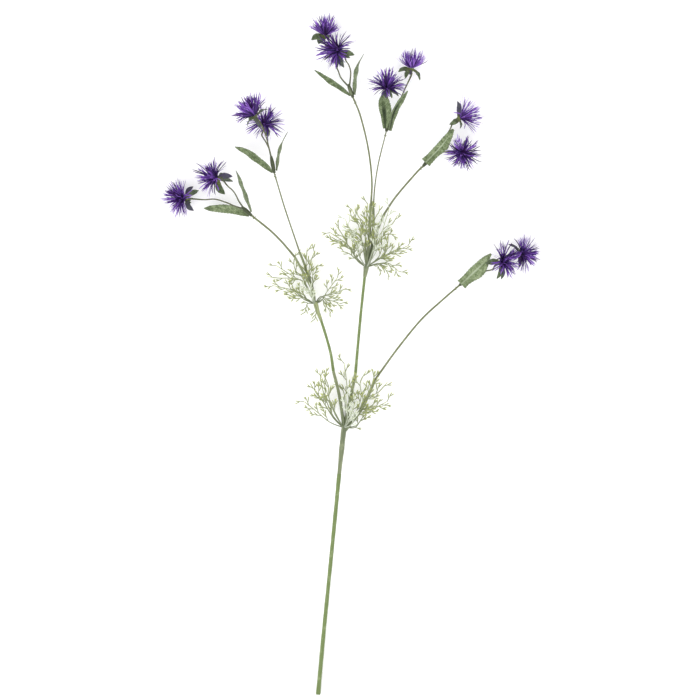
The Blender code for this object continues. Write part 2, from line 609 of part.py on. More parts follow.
def build_spray():
    """Makes every piece, each one clear of those made before it."""
    spray = bpy.data.objects.new("spray", None)
    bpy.context.scene.collection.objects.link(spray)
    made = [(name, mesh, "stem", origin) for name, mesh, origin in build_stems()]
    stem_tree = tree_of([mesh for _, mesh, *_ in made])
    for number, (name, fork) in enumerate(FORKS.items(), 1):
        made.append((name, fork_mesh(name, fork, stem_tree, 100 * number), "fork", fork.socket[0]))
    for number, sprig in enumerate(SPRIGS, 1):
        sprig_name = f"sprig_{number}_"
        sleeve = sleeve_mesh(sprig_name + "sleeve", sprig)
        made.append((sprig_name + "sleeve", sleeve, "stalk", sprig.sleeve[0]))
        carriers = tree_of([sleeve, *[mesh for name, mesh, *_ in made if name == sprig_name + "stem"]])
        for letter, leaf in zip("ab", sprig.leaves):
            name = sprig_name + "leaf_" + letter
            made.append((name, leaf_mesh(name, leaf, carriers), "leaf", leaf.route[0]))
        for letter, head in zip("ab", sprig.heads):
            name = sprig_name + "calyx_" + letter
            made.append((name, calyx_mesh(name, head), "calyx", head.centre))
    for number, sprig in enumerate(SPRIGS, 1):
        for letter, head in zip("ab", sprig.heads):
            name = f"sprig_{number}_head_{letter}"
            others = tree_of([mesh for _, mesh, *_ in made])
            seed = 10 * number + ord(letter)
            made.append((name, head_mesh(name, head, others, seed), "head", head.centre))
    low, high = bounds([mesh for _, mesh, *_ in made])
    for name, mesh, kind, origin in made:
        place(spray, name, mesh, kind, origin)
    spray.location = -MM * Vector(((low.x + high.x) / 2, (low.y + high.y) / 2, low.z))


def bounds(meshes):
    """The lowest and highest corners of all the meshes."""
    places = [vertex.co for mesh in meshes for vertex in mesh.vertices]
    corners = [[pick(place[axis] for place in places) for axis in range(3)] for pick in (min, max)]
    return Vector(corners[0]), Vector(corners[1])


clear_scene()
build_spray()
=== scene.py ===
# %% [markdown]
# # A cut spray of meadow-rue, dressed for its picture
#
# The spray is an artificial one: a wired stem with moulded forks, fine dill-like fronds, six leafy
# sprigs and twelve violet heads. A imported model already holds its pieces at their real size. This
# lesson keeps every piece where that model has it, and gives each one its fine form and finish.
#
# It starts by loading the model and noting its box, so that the dressed spray can be compared with it.

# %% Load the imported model
import math
import random
from collections import namedtuple
from types import SimpleNamespace

import bpy
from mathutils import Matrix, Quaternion, Vector


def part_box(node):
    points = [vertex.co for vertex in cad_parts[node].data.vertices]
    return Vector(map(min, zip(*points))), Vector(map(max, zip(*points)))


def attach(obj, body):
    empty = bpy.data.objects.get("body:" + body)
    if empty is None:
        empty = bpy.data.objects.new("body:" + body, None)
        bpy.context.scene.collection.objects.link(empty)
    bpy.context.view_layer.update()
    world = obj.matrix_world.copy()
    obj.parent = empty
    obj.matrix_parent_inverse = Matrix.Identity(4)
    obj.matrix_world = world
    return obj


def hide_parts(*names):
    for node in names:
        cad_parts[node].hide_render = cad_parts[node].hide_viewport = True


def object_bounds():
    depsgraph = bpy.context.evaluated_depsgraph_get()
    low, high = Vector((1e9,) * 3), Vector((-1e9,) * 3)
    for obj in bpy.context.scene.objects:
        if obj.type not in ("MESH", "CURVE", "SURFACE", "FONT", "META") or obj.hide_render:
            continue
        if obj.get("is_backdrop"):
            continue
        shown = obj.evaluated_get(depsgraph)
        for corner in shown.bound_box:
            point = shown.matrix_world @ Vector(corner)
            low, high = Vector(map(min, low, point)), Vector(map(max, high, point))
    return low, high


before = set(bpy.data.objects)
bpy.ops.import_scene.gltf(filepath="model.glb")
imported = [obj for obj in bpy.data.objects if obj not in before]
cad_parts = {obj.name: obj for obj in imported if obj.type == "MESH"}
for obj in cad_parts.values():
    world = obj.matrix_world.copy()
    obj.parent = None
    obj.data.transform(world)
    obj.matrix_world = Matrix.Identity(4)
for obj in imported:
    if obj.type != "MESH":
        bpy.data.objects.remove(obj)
cad_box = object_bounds()
scene = bpy.context.scene
print(f"{len(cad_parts)} pieces, {1000 * (cad_box[1] - cad_box[0]).y:.0f} mm long")

# %% [markdown]
# ## Where the spray lies
#
# The stems were measured in millimetres from the cut end of the main stem, as (right, along, up),
# with the table at height 0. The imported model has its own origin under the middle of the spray.
# One known place ties the two together: the ring of corners round the cut end of the main stem.

# %% Find the cut end
MM = 0.001
UP = Vector((0, 0, 1))
CUT_END = (-0.2, -1.2, 2.1)

stem_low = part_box("main_stem")[0]
corners = (vertex.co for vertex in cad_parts["main_stem"].data.vertices)
cut_ring = {tuple(round(x, 6) for x in co) for co in corners if co.y < stem_low.y + MM}
cut_middle = sum((Vector(co) for co in cut_ring), Vector()) / len(cut_ring)
ORIGIN = cut_middle - MM * Vector(CUT_END)
print(f"the cut end is at {tuple(round(x, 4) for x in cut_middle)}, from {len(cut_ring)} corners")


def placed(point):
    """A place in millimetres from the cut end, as a place in the model."""
    return ORIGIN + MM * Vector(point)


# %% [markdown]
# ## The camera
#
# The photograph looks straight at the spray, so with the spray lying down the camera looks straight
# down. A long lens flattens the picture as the photograph does. The picture is 700 mm across at the
# height of the heads, and the distance follows from that width and the lens.

# %% Set up the camera
PICTURE_WIDTH = 0.7
PICTURE_MIDDLE = (31.8, 344.5, 20)
LENS = 280
SENSOR = 36

camera = bpy.data.objects.new("camera", bpy.data.cameras.new("camera"))
camera.data.lens = LENS
camera.data.sensor_width = SENSOR
distance = PICTURE_WIDTH * LENS / SENSOR
camera.location = placed(PICTURE_MIDDLE) + distance * UP
camera.data.clip_end = 3 * distance
scene.collection.objects.link(camera)
scene.camera = camera
print(f"camera {distance:.2f} m above the spray")

# %% [markdown]
# ## Table and light
#
# The photograph's ground is pure white and almost without shadow, as in a light tent. A white table
# that glows faintly and a white sky give that. One large soft sun, from the left and the foot of the
# picture, adds the little modelling that the stems and leaves show. The function that paints the
# table here is the one that starts every later material too.

# %% Lay the table and light it
TABLE_SIZE = 16
TABLE_WHITE = 0.95
TABLE_GLOW = 0.12
WHITE = (1, 1, 1, 1)
SKY_STRENGTH = 1.15
SUN_STRENGTH = 0.9
SUN_SOFTNESS = 50
SUN_TURN = (28, -24, 0)


def new_material(name, roughness, **constants):
    """A material and its shader, with the constants set on the shader's own sockets."""
    made = bpy.data.materials.new(name)
    made.use_nodes = True
    shader = made.node_tree.nodes["Principled BSDF"]
    shader.inputs["Roughness"].default_value = roughness
    for socket, value in constants.items():
        shader.inputs[socket.replace("_", " ")].default_value = value
    return made, shader


table_paint, _ = new_material(
    "table white", 0.9, Base_Color=(TABLE_WHITE, TABLE_WHITE, TABLE_WHITE, 1), Specular_IOR_Level=0.1,
    Emission_Color=WHITE, Emission_Strength=TABLE_GLOW,
)
half = TABLE_SIZE / 2
table_corners = [(-half, -half, 0), (half, -half, 0), (half, half, 0), (-half, half, 0)]
table_mesh = bpy.data.meshes.new("table")
table_mesh.from_pydata(table_corners, [], [(0, 1, 2, 3)])
table_mesh.materials.append(table_paint)
table = bpy.data.objects.new("table", table_mesh)
scene.collection.objects.link(table)
table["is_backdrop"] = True

sky = bpy.data.worlds.new("light tent")
sky.use_nodes = True
sky.node_tree.nodes["Background"].inputs["Color"].default_value = WHITE
sky.node_tree.nodes["Background"].inputs["Strength"].default_value = SKY_STRENGTH
scene.world = sky
sun = bpy.data.objects.new("sun", bpy.data.lights.new("sun", "SUN"))
sun.data.energy = SUN_STRENGTH
sun.data.angle = math.radians(SUN_SOFTNESS)
sun.rotation_euler = [math.radians(a) for a in SUN_TURN]
scene.collection.objects.link(sun)
scene.view_settings.view_transform = "Standard"
print("table, sky and sun are in place")

# %% [markdown]
# ## The plan of the stems
#
# Each stem, leaf and stalk is a short list of points that a smooth curve runs through.
# These are the same points that the imported model was built from, so the fine pieces fit it. The
# three main stems come first: the one with the cut end, and the two that leave the lowest fork.

# %% Note down the stems
STEMS = {
    "main_stem": [
        (-0.2, -1.2, 2.1), (4.8, 54.5, 5.0), (10.7, 114.5, 8.2), (16.6, 174.5, 12.0), (21, 220.5, 15),
    ],
    "left_branch": [(15.2, 323.2, 17.5), (12.6, 340.5, 17.6), (8.4, 356.5, 17.8), (3, 373.8, 18)],
    "middle_branch": [(37.2, 320.5, 18.5), (40.1, 353.5, 18.9), (43.1, 385.5, 19.4), (46.5, 417.5, 20)],
}
STEM_RADII = {
    "main_stem": (2.1, 1.95, 1.85, 1.9, 2.0),
    "left_branch": (1.4, 1.3),
    "middle_branch": (1.4, 1.3),
}
print(f"{len(STEMS)} main stems")

# %% [markdown]
# ## The plan of the forks
#
# A fork is one moulding: a socket, its arms and its fronds. So it is noted down whole, and each of
# its fronds has the reach of its twigs in millimetres, the turn of its flat side, and its route.

# %% Note down the forks
Frond = namedtuple("Frond", "reach roll route")
Fork = namedtuple("Fork", "socket socket_radii arm_radius arms fronds")

FORKS = {
    "lower_fork": Fork(
        socket=[(21, 220.5, 15), (23.4, 244.5, 16.2), (26, 269, 17)],
        socket_radii=(2.0, 2.15, 2.75, 2.45, 2.9),
        arm_radius=1.75,
        arms=[
            [(25.9, 264, 17), (23.9, 281.3, 17.2), (20.4, 302.4, 17.4), (15.2, 323.2, 17.5)],
            [(26.5, 264, 17), (30, 284.5, 17.6), (33.4, 302, 18.1), (37.2, 320.5, 18.5)],
            [(27, 264, 17), (33.2, 272, 16.8), (41.5, 282.7, 16.9), (49.3, 297.5, 17.6),
             (56.5, 314.2, 18.3)],
        ],
        fronds=[
            Frond(15, -10, [(25, 267, 17), (11.2, 272.5, 14), (-3, 284, 10), (-14.5, 293, 7)]),
            Frond(15, -4, [(25, 267, 17), (16.3, 275.1, 18), (8.6, 286.6, 18), (-3, 305, 17)]),
            Frond(15, 14, [(25, 267, 18), (18.8, 278.3, 22), (12.4, 292.3, 27), (3, 319, 33)]),
            Frond(15, 0, [(26, 267, 16), (31, 287, 12.5), (29, 307, 10), (26, 331, 8)]),
            Frond(15, 10, [(26, 267, 18), (35.4, 277.6, 22), (45.6, 289.8, 26), (56, 316, 32)]),
            Frond(14, 18, [(26, 267, 17), (38, 269, 16.5), (48.2, 280.8, 15), (69, 293, 11)]),
            Frond(13, 0, [(26, 267, 18), (30, 272, 27), (33, 280, 35), (37, 292, 42)]),
        ],
    ),
    "left_fork": Fork(
        socket=[(3, 373.8, 18), (-0.6, 383.5, 18.2), (-3, 392.5, 18.4)],
        socket_radii=(1.6, 2.0, 2.4),
        arm_radius=1.35,
        arms=[
            [(-2.6, 389, 18.6), (-7.2, 407, 20.6), (-12, 416, 21.4), (-17, 426, 21.2), (-23.6, 437.7, 20.6)],
            [(-3.2, 389, 18.2), (-5, 404, 16.4), (-9.4, 416.5, 15.4), (-14, 430.7, 15.4),
             (-18.5, 442.2, 16)],
        ],
        fronds=[
            Frond(14, -8, [(-3, 391, 19), (-14.5, 411.5, 25), (-24.2, 417.5, 28), (-42, 429, 31)]),
            Frond(15, -12, [(-3, 391, 18), (-14, 395, 15), (-25, 404, 12), (-45, 409, 9)]),
            Frond(15, 8, [(-3, 391, 18), (3.5, 394, 19), (9, 403, 21), (19.5, 417, 24)]),
            Frond(14, 16, [(-3, 391, 18), (2.5, 398, 16), (10, 395, 14), (22, 391, 12)]),
            Frond(14, 0, [(-3, 391, 17), (-7, 412, 12), (-9, 427, 9.5), (-4, 443, 8)]),
            Frond(12, 0, [(-3, 391, 19), (-5, 396, 27), (-9, 403, 33), (-16, 408, 37)]),
        ],
    ),
    "middle_fork": Fork(
        socket=[(46.5, 417.5, 20), (47.5, 423.5, 20.2), (48.2, 429, 20.4)],
        socket_radii=(1.7, 2.3, 2.8),
        arm_radius=1.5,
        arms=[
            [(48, 426, 20.6), (49.4, 441, 22.6), (51.2, 456.7, 24), (51.9, 472.6, 23.8),
             (52.7, 488.2, 22.8)],
            [(48.4, 426, 20.2), (52, 441.5, 18.4), (54.6, 454, 17), (55.3, 470, 16.8), (55.1, 486.7, 17)],
            [(48.6, 426, 20.4), (52.6, 437, 20.6), (56.4, 450.6, 20.6), (60, 466, 20.2),
             (66.3, 480.9, 19.8)],
        ],
        fronds=[
            Frond(15, -6, [(47.5, 427.5, 21), (40.6, 439, 26), (36.9, 452.7, 30), (27, 475, 35)]),
            Frond(15, -10, [(47.5, 427.5, 20), (37.5, 438, 17.5), (29, 450.5, 15), (12, 462, 12)]),
            Frond(15, 4, [(48.5, 427.5, 20), (62.2, 436, 19), (74, 441.5, 17), (90, 449, 14)]),
            Frond(13, 14, [(48.5, 427.5, 20), (62, 431.2, 16), (71, 431, 13), (81, 423, 9)]),
            Frond(15, 0, [(48, 427.5, 19), (47, 450, 13), (48, 470, 9), (49.5, 491, 7)]),
            Frond(15, 6, [(48.5, 427.5, 21), (59, 445, 29), (64, 463, 35), (71, 486, 40)]),
            Frond(13, -6, [(48, 427.5, 20), (44, 452, 15.5), (40, 470, 13.5), (34, 485, 12)]),
        ],
    ),
}
print(f"{len(FORKS)} forks with {sum(len(fork.fronds) for fork in FORKS.values())} fronds")

# %% [markdown]
# ## The plan of the sprigs
#
# Six leafy sprigs stand in the arms of the forks, numbered from left to right. A head has its
# middle, the way it faces (heading and tilt), how far its strands open (spread), their reach, and
# the route of its stalk. A leaf has its route, its roll and fold, and its widths to the left and to
# the right of the midrib at even steps, so that each leaf keeps its own outline.

# %% Note down the sprigs
Head = namedtuple("Head", "centre heading tilt spread reach stalk")
Leaf = namedtuple("Leaf", "route roll fold left right")
Sprig = namedtuple("Sprig", "stem radii sleeve_end heads leaves")

SPRIGS = [
    Sprig(
        stem=[(-23.6, 437.7, 20.6), (-36.3, 452.5, 20.2), (-48.5, 464.5, 20), (-66.4, 478.8, 20)],
        radii=(1.0, 0.95),
        sleeve_end=(-76.5, 487.7, 20),
        heads=[
            Head((-135, 496.5, 15.5), 176, 14, 98, 22.5,
                 [(-84, 488.6, 19.4), (-91, 491.7, 18.4), (-103, 495.4, 15.6), (-114, 495, 13.2)]),
            Head((-102.8, 516.4, 24.5), 160, 14, 94, 22.5,
                 [(-79.4, 493.4, 22.2), (-81.8, 498.4, 23), (-85.4, 503.9, 22.6), (-90.5, 508.4, 22)]),
        ],
        leaves=[
            Leaf([(-69, 479, 18.4), (-81, 483.4, 16.2), (-96, 486.3, 12.4), (-114.8, 486.5, 8)], -14, 18,
                 (1.2, 3.2, 4.1, 4.4, 4.5, 4.4, 3.3, 0.4), (1.4, 3.6, 4.5, 5.2, 4.9, 4.2, 3.2, 0.4)),
            Leaf([(-67.1, 482.3, 21), (-74.9, 502.2, 26.5), (-82.2, 523.8, 31)], 66, 14,
                 (1.8, 3.6, 4.6, 4.8, 4.8, 4.4, 3.2, 0.3), (1.8, 3.6, 4.6, 4.8, 5.2, 4.2, 3.0, 0.3)),
        ],
    ),
    Sprig(
        stem=[(-18.5, 442.2, 16), (-26.1, 464.5, 17.6), (-34.1, 488.5, 19), (-43.9, 521.4, 20)],
        radii=(0.75, 0.68),
        sleeve_end=(-47.2, 538.4, 20.6),
        heads=[
            Head((-64.3, 579.8, 41), 127, 8, 69, 24.5,
                 [(-49.2, 546.5, 24), (-52, 557.5, 31.5), (-55.2, 566, 37)]),
            Head((-53.6, 570.8, 17), 76, 26, 108, 22.5,
                 [(-48.9, 545, 17), (-52.6, 553, 11.5), (-56.6, 559.5, 9)]),
        ],
        leaves=[
            Leaf([(-45.4, 522.2, 19.6), (-59.6, 533.8, 17), (-71.5, 542.3, 14), (-83.5, 548, 12)], -20, 18,
                 (1.2, 2.4, 3.1, 3.4, 3.3, 2.8, 2.3, 0.4), (1.2, 3.6, 4.4, 4.6, 4.5, 4.1, 3.2, 0.5)),
            Leaf([(-41.4, 523.8, 20.6), (-38.7, 540.7, 23.2), (-36, 551.2, 25), (-30.2, 562.6, 27)], -62, 14,
                 (1.8, 3.2, 3.9, 3.8, 2.9, 1.7, 0.7, 0.4), (1.8, 3.0, 3.7, 3.8, 3.0, 1.8, 0.7, 0.4)),
        ],
    ),
    Sprig(
        stem=[(52.7, 488.2, 22.8), (53.6, 514.5, 22), (49.9, 546.5, 21.2),
              (42.2, 578.5, 20.4), (34.8, 597, 20)],
        radii=(0.88, 0.82),
        sleeve_end=(29.9, 610.4, 20),
        heads=[
            Head((6.9, 661.5, 16), 85, 6, 78, 19.5,
                 [(22.9, 616.6, 16), (20.4, 623, 11), (15.5, 634.5, 9.5), (9.8, 645, 11.8)]),
            Head((19.8, 643.6, 31), 161, 24, 114, 23,
                 [(32.1, 616, 22), (32.4, 623, 24.6), (30.5, 629.3, 25.5), (27.2, 634.6, 26.4)]),
        ],
        leaves=[
            Leaf([(32.4, 599.2, 19.6), (22, 607, 17), (10, 615.3, 13.8), (-3.9, 625, 10)], -24, 16,
                 (1.2, 2.2, 2.8, 3.3, 3.3, 2.5, 1.6, 0.3), (1.2, 2.1, 2.8, 3.1, 3.0, 2.5, 1.9, 0.3)),
            Leaf([(36.6, 599.6, 20.6), (37.7, 616, 23), (39.9, 628.5, 24.6), (45.6, 640.3, 26)], -60, 14,
                 (2.0, 3.6, 4.4, 4.4, 3.9, 2.8, 0.7, 0.4), (2.0, 3.6, 4.4, 4.4, 4.1, 3.0, 0.7, 0.4)),
        ],
    ),
    Sprig(
        stem=[(55.1, 486.7, 17), (56.7, 508.5, 18), (60.5, 532.5, 18.8), (68.1, 563, 19.4)],
        radii=(0.66, 0.58),
        sleeve_end=(70.4, 575.6, 18.6),
        heads=[
            Head((68.8, 606.5, 31), 92, 26, 100, 21.5,
                 [(70.4, 583, 18.6), (69.8, 590, 21.4)]),
            Head((93.4, 628.5, 16), 88, 6, 71, 19.5,
                 [(74.6, 583, 14.4), (81.6, 594.5, 10.4), (87, 606.5, 10.6)]),
        ],
        leaves=[
            Leaf([(67.2, 566, 23), (66.2, 577, 24.6), (64.9, 589, 25.8), (64.4, 599, 26.4)], -10, 30,
                 (2.6, 3.2, 3.8, 4.4, 5.0, 5.3, 4.7, 1.8), (2.6, 5.0, 7.6, 9.4, 10.4, 10.4, 8.8, 3.0)),
            Leaf([(71.2, 563.8, 20.2), (75.4, 582, 20.8), (82, 593.6, 21.8), (89.4, 603.6, 23.2)], 38, 20,
                 (2.2, 3.4, 4.0, 3.9, 3.7, 3.4, 2.8, 0.6), (2.2, 3.2, 4.0, 4.4, 4.4, 3.9, 2.9, 0.7)),
        ],
    ),
    Sprig(
        stem=[(66.3, 480.9, 19.8), (78, 498.3, 20), (98.4, 522, 20), (104.8, 528.2, 20)],
        radii=(0.95, 0.9),
        sleeve_end=(113.4, 538, 19.4),
        heads=[
            Head((143.9, 577.3, 16.5), 20, 8, 82, 24.5,
                 [(119.5, 547.5, 17.4), (127, 558, 14.6), (132.2, 565.8, 13.2)]),
            Head((144.4, 541.6, 22), -60, 78, 98, 20,
                 [(121, 541.5, 15.5), (131.5, 543.6, 8.6), (138.5, 544.6, 5.8)]),
        ],
        leaves=[
            Leaf([(107.2, 532, 23.4), (120.4, 545.4, 25.2), (130.8, 558.2, 26.4), (135, 565, 27)], 6, 8,
                 (5.4, 5.0, 4.8, 4.8, 5.0, 4.8, 3.5, 1.4), (5.5, 5.2, 5.1, 6.0, 7.2, 5.0, 3.4, 1.2)),
            Leaf([(107.4, 532, 16), (119.5, 544, 11.5), (130, 555, 6)], -6, 10,
                 (2.2, 3.4, 4.0, 4.2, 4.0, 3.2, 2.0, 0.3), (2.2, 3.4, 4.0, 4.2, 4.0, 3.2, 2.0, 0.3)),
        ],
    ),
    Sprig(
        stem=[(56.5, 314.2, 18.3), (78.2, 344.4, 19), (102.4, 374.2, 19.6),
              (123.6, 394, 20), (141.2, 409.2, 20)],
        radii=(1.0, 0.9),
        sleeve_end=(151.6, 417.2, 19.4),
        heads=[
            Head((184.3, 432.5, 31), 25, 22, 104, 22,
                 [(159.4, 421, 20.6), (167.6, 423.4, 23), (174, 425, 25.2)]),
            Head((203.8, 440.9, 16.5), 0, 14, 108, 22,
                 [(160.8, 424.6, 15), (174, 432.6, 10.4), (187, 438.4, 10.8)]),
        ],
        leaves=[
            Leaf([(142.8, 410.2, 23.6), (156, 422.8, 25.2), (166, 432.6, 26.2), (172.8, 440.6, 27)], 8, 8,
                 (5.5, 5.4, 5.5, 5.8, 5.9, 5.5, 4.1, 0.9), (5.8, 5.8, 7.5, 9.2, 8.9, 6.6, 2.8, 0.9)),
            Leaf([(144.4, 411, 16), (155, 420.6, 10.5), (168, 430.6, 3.5)], -10, 10,
                 (2.7, 4.1, 5.0, 5.4, 5.2, 4.2, 2.6, 0.3), (2.7, 4.1, 5.0, 5.4, 5.2, 4.2, 2.6, 0.3)),
        ],
    ),
]
print(f"{len(SPRIGS)} sprigs, {sum(len(sprig.heads) for sprig in SPRIGS)} heads")

# %% [markdown]
# ## A smooth line through a few points
#
# A wired stem bends in long easy curves. A Catmull-Rom curve passes through every point that it is
# given and never kinks, which suits a route given as a few points. It is sampled finely and then
# read at even steps, so that later patterns along a stem keep one scale.

# %% Draw smooth lines
FINE_STEPS = 16


def line_length(points):
    """How long a line of points is."""
    return sum((b - a).length for a, b in zip(points, points[1:]))


def smooth(route, count):
    """Points at even steps along a Catmull-Rom curve through the route."""
    stops = [Vector(stop) for stop in route]
    ends = [2 * stops[0] - stops[1], *stops, 2 * stops[-1] - stops[-2]]
    fine = []
    for a, b, c, d in zip(ends, ends[1:], ends[2:], ends[3:]):
        for step in range(FINE_STEPS):
            t = step / FINE_STEPS
            curve = 2 * b + (c - a) * t + (2 * a - 5 * b + 4 * c - d) * t**2
            fine.append(0.5 * (curve + (3 * b - a - 3 * c + d) * t**3))
    fine.append(stops[-1])
    travelled = [0.0]
    for here, there in zip(fine, fine[1:]):
        travelled.append(travelled[-1] + (there - here).length)
    points = []
    place = 0
    for target in (travelled[-1] * i / (count - 1) for i in range(count)):
        while place < len(fine) - 2 and travelled[place + 1] < target:
            place += 1
        share = (target - travelled[place]) / (travelled[place + 1] - travelled[place])
        points.append(fine[place].lerp(fine[place + 1], min(1, share)))
    return points


def directions(points):
    """The way the line runs at each of its points."""
    last = len(points) - 1
    return [(points[min(i + 1, last)] - points[max(i - 1, 0)]).normalized() for i in range(last + 1)]


def blend(values, share):
    """The value at a share, from 0 to 1, of an evenly spaced list."""
    place = share * (len(values) - 1)
    low = min(int(place), len(values) - 2)
    return values[low] + (values[low + 1] - values[low]) * (place - low)


print(f"the main stem is {line_length(smooth(STEMS['main_stem'], 40)):.0f} mm long")

# %% [markdown]
# ## Building node trees in code
#
# Geometry Nodes and materials are both node trees, and writing one out node by node is long. So what
# comes out of a node is wrapped as a signal here. Signals are added and multiplied as numbers are,
# which adds the next node by itself, and a formula reads as it would on paper.

# %% Make signals


class Signal:
    """What comes out of a node. Arithmetic on it adds the node that works out the result."""

    def __init__(self, wiring, socket):
        self.wiring = wiring
        self.socket = socket

    def __add__(self, other):
        return self.wiring.math("ADD", self, other)

    def __sub__(self, other):
        return self.wiring.math("SUBTRACT", self, other)

    def __rsub__(self, other):
        return self.wiring.math("SUBTRACT", other, self)

    def __mul__(self, other):
        if self.socket.type == "VECTOR":
            return self.wiring.scaled(self, other)
        return self.wiring.math("MULTIPLY", self, other)

    def __truediv__(self, other):
        return self.wiring.math("DIVIDE", self, other)

    def clamped(self):
        """The same number, held between 0 and 1."""
        self.socket.node.use_clamp = True
        return self

    def past(self, start, slope):
        """A number that rises from 0 to 1 where this one passes a start."""
        return ((self - start) * slope).clamped()


print("signals can be added, multiplied and clamped")

# %% [markdown]
# ## The wiring helper
#
# The wiring holds a tree. It adds a node, sets its options and joins its inputs in one call, where
# Blender's own way takes a line for each. The nodes that this spray needs most have short names.

# %% Make the wiring helper


class Wiring:
    """A node tree that is built call by call."""

    def __init__(self, tree):
        self.tree = tree

    def add(self, kind, wires=(), **options):
        """Adds a node, with its options set and its input sockets wired or filled in."""
        node = self.tree.nodes.new(kind)
        for option, value in options.items():
            setattr(node, option, value)
        for socket, value in dict(wires).items():
            if isinstance(value, Signal):
                self.tree.links.new(value.socket, node.inputs[socket])
            else:
                node.inputs[socket].default_value = value
        return node

    def out(self, kind, wires=(), output=0, **options):
        """Adds a node, and gives one of its outputs."""
        return Signal(self, self.add(kind, wires, **options).outputs[output])

    def math(self, operation, *values):
        """Arithmetic on numbers, or on vectors where the first value is one."""
        first = values[0]
        on_vectors = isinstance(first, Signal) and first.socket.type == "VECTOR"
        kind = "ShaderNodeVectorMath" if on_vectors else "ShaderNodeMath"
        return self.out(kind, enumerate(values), operation=operation)

    def scaled(self, vector, factor):
        """A vector, made longer or shorter by a factor."""
        return self.out("ShaderNodeVectorMath", {0: vector, 3: factor}, operation="SCALE")

    def joined(self, right, ahead, up):
        """A vector from its three numbers."""
        return self.out("ShaderNodeCombineXYZ", {0: right, 1: ahead, 2: up})

    def parts(self, vector):
        """The three numbers of a vector."""
        return [Signal(self, socket) for socket in self.add("ShaderNodeSeparateXYZ", {0: vector}).outputs]

    def chance(self, low, high, number, seed):
        """A random number for each value of number."""
        return self.out("FunctionNodeRandomValue", {2: low, 3: high, 7: number, 8: seed}, 1)

    def chance_vector(self, size, number, seed):
        """A random vector for each value of number."""
        wires = {0: (-size,) * 3, 1: (size,) * 3, 7: number, 8: seed}
        return self.out("FunctionNodeRandomValue", wires, data_type="FLOAT_VECTOR")

    def stored(self, geometry, name, value, data_type="FLOAT"):
        """Keeps a value on the geometry under a name, for the materials to read."""
        wires = {0: geometry, 2: name, 3: value}
        return self.out("GeometryNodeStoreNamedAttribute", wires, data_type=data_type)

    def named(self, name):
        """The value that the geometry keeps under a name."""
        return self.out("GeometryNodeInputNamedAttribute", {0: name})

    def finish(self, geometry, material):
        """Ends a Geometry Nodes tree: real geometry, smooth, with its material."""
        real = self.out("GeometryNodeRealizeInstances", {0: geometry})
        soft = self.out("GeometryNodeSetShadeSmooth", {0: real})
        dressed = self.out("GeometryNodeSetMaterial", {0: soft, 2: material})
        self.add("NodeGroupOutput", {0: dressed})


print("the wiring helper is ready")

# %% [markdown]
# ## From a tree to a piece
#
# A tree has named inputs, which turn into sockets on the modifier that runs it, and a modifier's
# input is set by its identifier. What grows is copied out as a plain mesh, so no modifier is left
# on the spray. Each fine piece then takes the place of the model's node.

# %% Make the growing helpers


def geometry_tree(name, **inputs):
    """A new Geometry Nodes tree, and its inputs by name."""
    tree = bpy.data.node_groups.new(name, "GeometryNodeTree")
    tree.interface.new_socket("Geometry", in_out="INPUT", socket_type="NodeSocketGeometry")
    tree.interface.new_socket("Geometry", in_out="OUTPUT", socket_type="NodeSocketGeometry")
    for label, kind in inputs.items():
        tree.interface.new_socket(label, in_out="INPUT", socket_type="NodeSocket" + kind)
    wiring = Wiring(tree)
    sockets = wiring.add("NodeGroupInput").outputs
    signals = {label: Signal(wiring, sockets[label]) for label in ("Geometry", *inputs)}
    return wiring, SimpleNamespace(**signals)


def grown(mesh, tree, **values):
    """Runs a tree on a mesh, and gives back what grew as a plain mesh."""
    maker = bpy.data.objects.new("maker", mesh)
    scene.collection.objects.link(maker)
    modifier = maker.modifiers.new("grow", "NODES")
    modifier.node_group = tree
    for socket in tree.interface.items_tree:
        if socket.in_out == "INPUT" and socket.name in values:
            modifier[socket.identifier] = values[socket.name]
    ready = bpy.context.evaluated_depsgraph_get()
    result = maker.evaluated_get(ready)
    plain = bpy.data.meshes.new_from_object(result, preserve_all_data_layers=True, depsgraph=ready)
    bpy.data.objects.remove(maker, do_unlink=True)
    return plain


def finished(node, mesh):
    """Puts a fine piece in the place of the model's node."""
    name = node + "_fine"
    mesh.name = name
    piece = bpy.data.objects.new(name, mesh)
    scene.collection.objects.link(piece)
    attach(piece, "root")
    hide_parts(node)
    return len(mesh.polygons)


print("the growing helpers are ready")

# %% [markdown]
# ## The tree that makes tubes
#
# Stems, stalks, arms and every twig of the fronds are round and follow a line. One tree makes them
# all: chains of edges become curves, and a circle is swept along them, as thick as the thickness
# noted at each point. The two moulds of a plastic stem leave a fine seam down each side, so the
# circle has two raised corners. The circle's own places and the distance along the line are kept
# on the surface, because streaks in the plastic run lengthwise round the stem.

# %% Build the tube tree
w, tube_in = geometry_tree("tubes along lines", Sides="Int", Seam="Float", Material="Material")
TUBE_TREE = w.tree
lines = w.out("GeometryNodeMeshToCurve", {0: tube_in.Geometry})
lines = w.stored(lines, "along", w.out("GeometryNodeSplineParameter", output="Length"))
ring = w.out("GeometryNodeCurvePrimitiveCircle", {0: tube_in.Sides, 4: 1.0})
corner = w.out("GeometryNodeInputIndex")
on_seam = w.math("LESS_THAN", w.math("MODULO", corner, tube_in.Sides / 2), 0.5)
raised = w.out("GeometryNodeInputPosition") * (on_seam * tube_in.Seam)
ring = w.out("GeometryNodeSetPosition", {0: ring, 3: raised})
ring = w.stored(ring, "across", w.out("GeometryNodeInputPosition"), "FLOAT_VECTOR")
tubes = w.out("GeometryNodeCurveToMesh", {0: lines, 1: ring, 2: w.named("thickness"), 3: True})
w.finish(tubes, tube_in.Material)


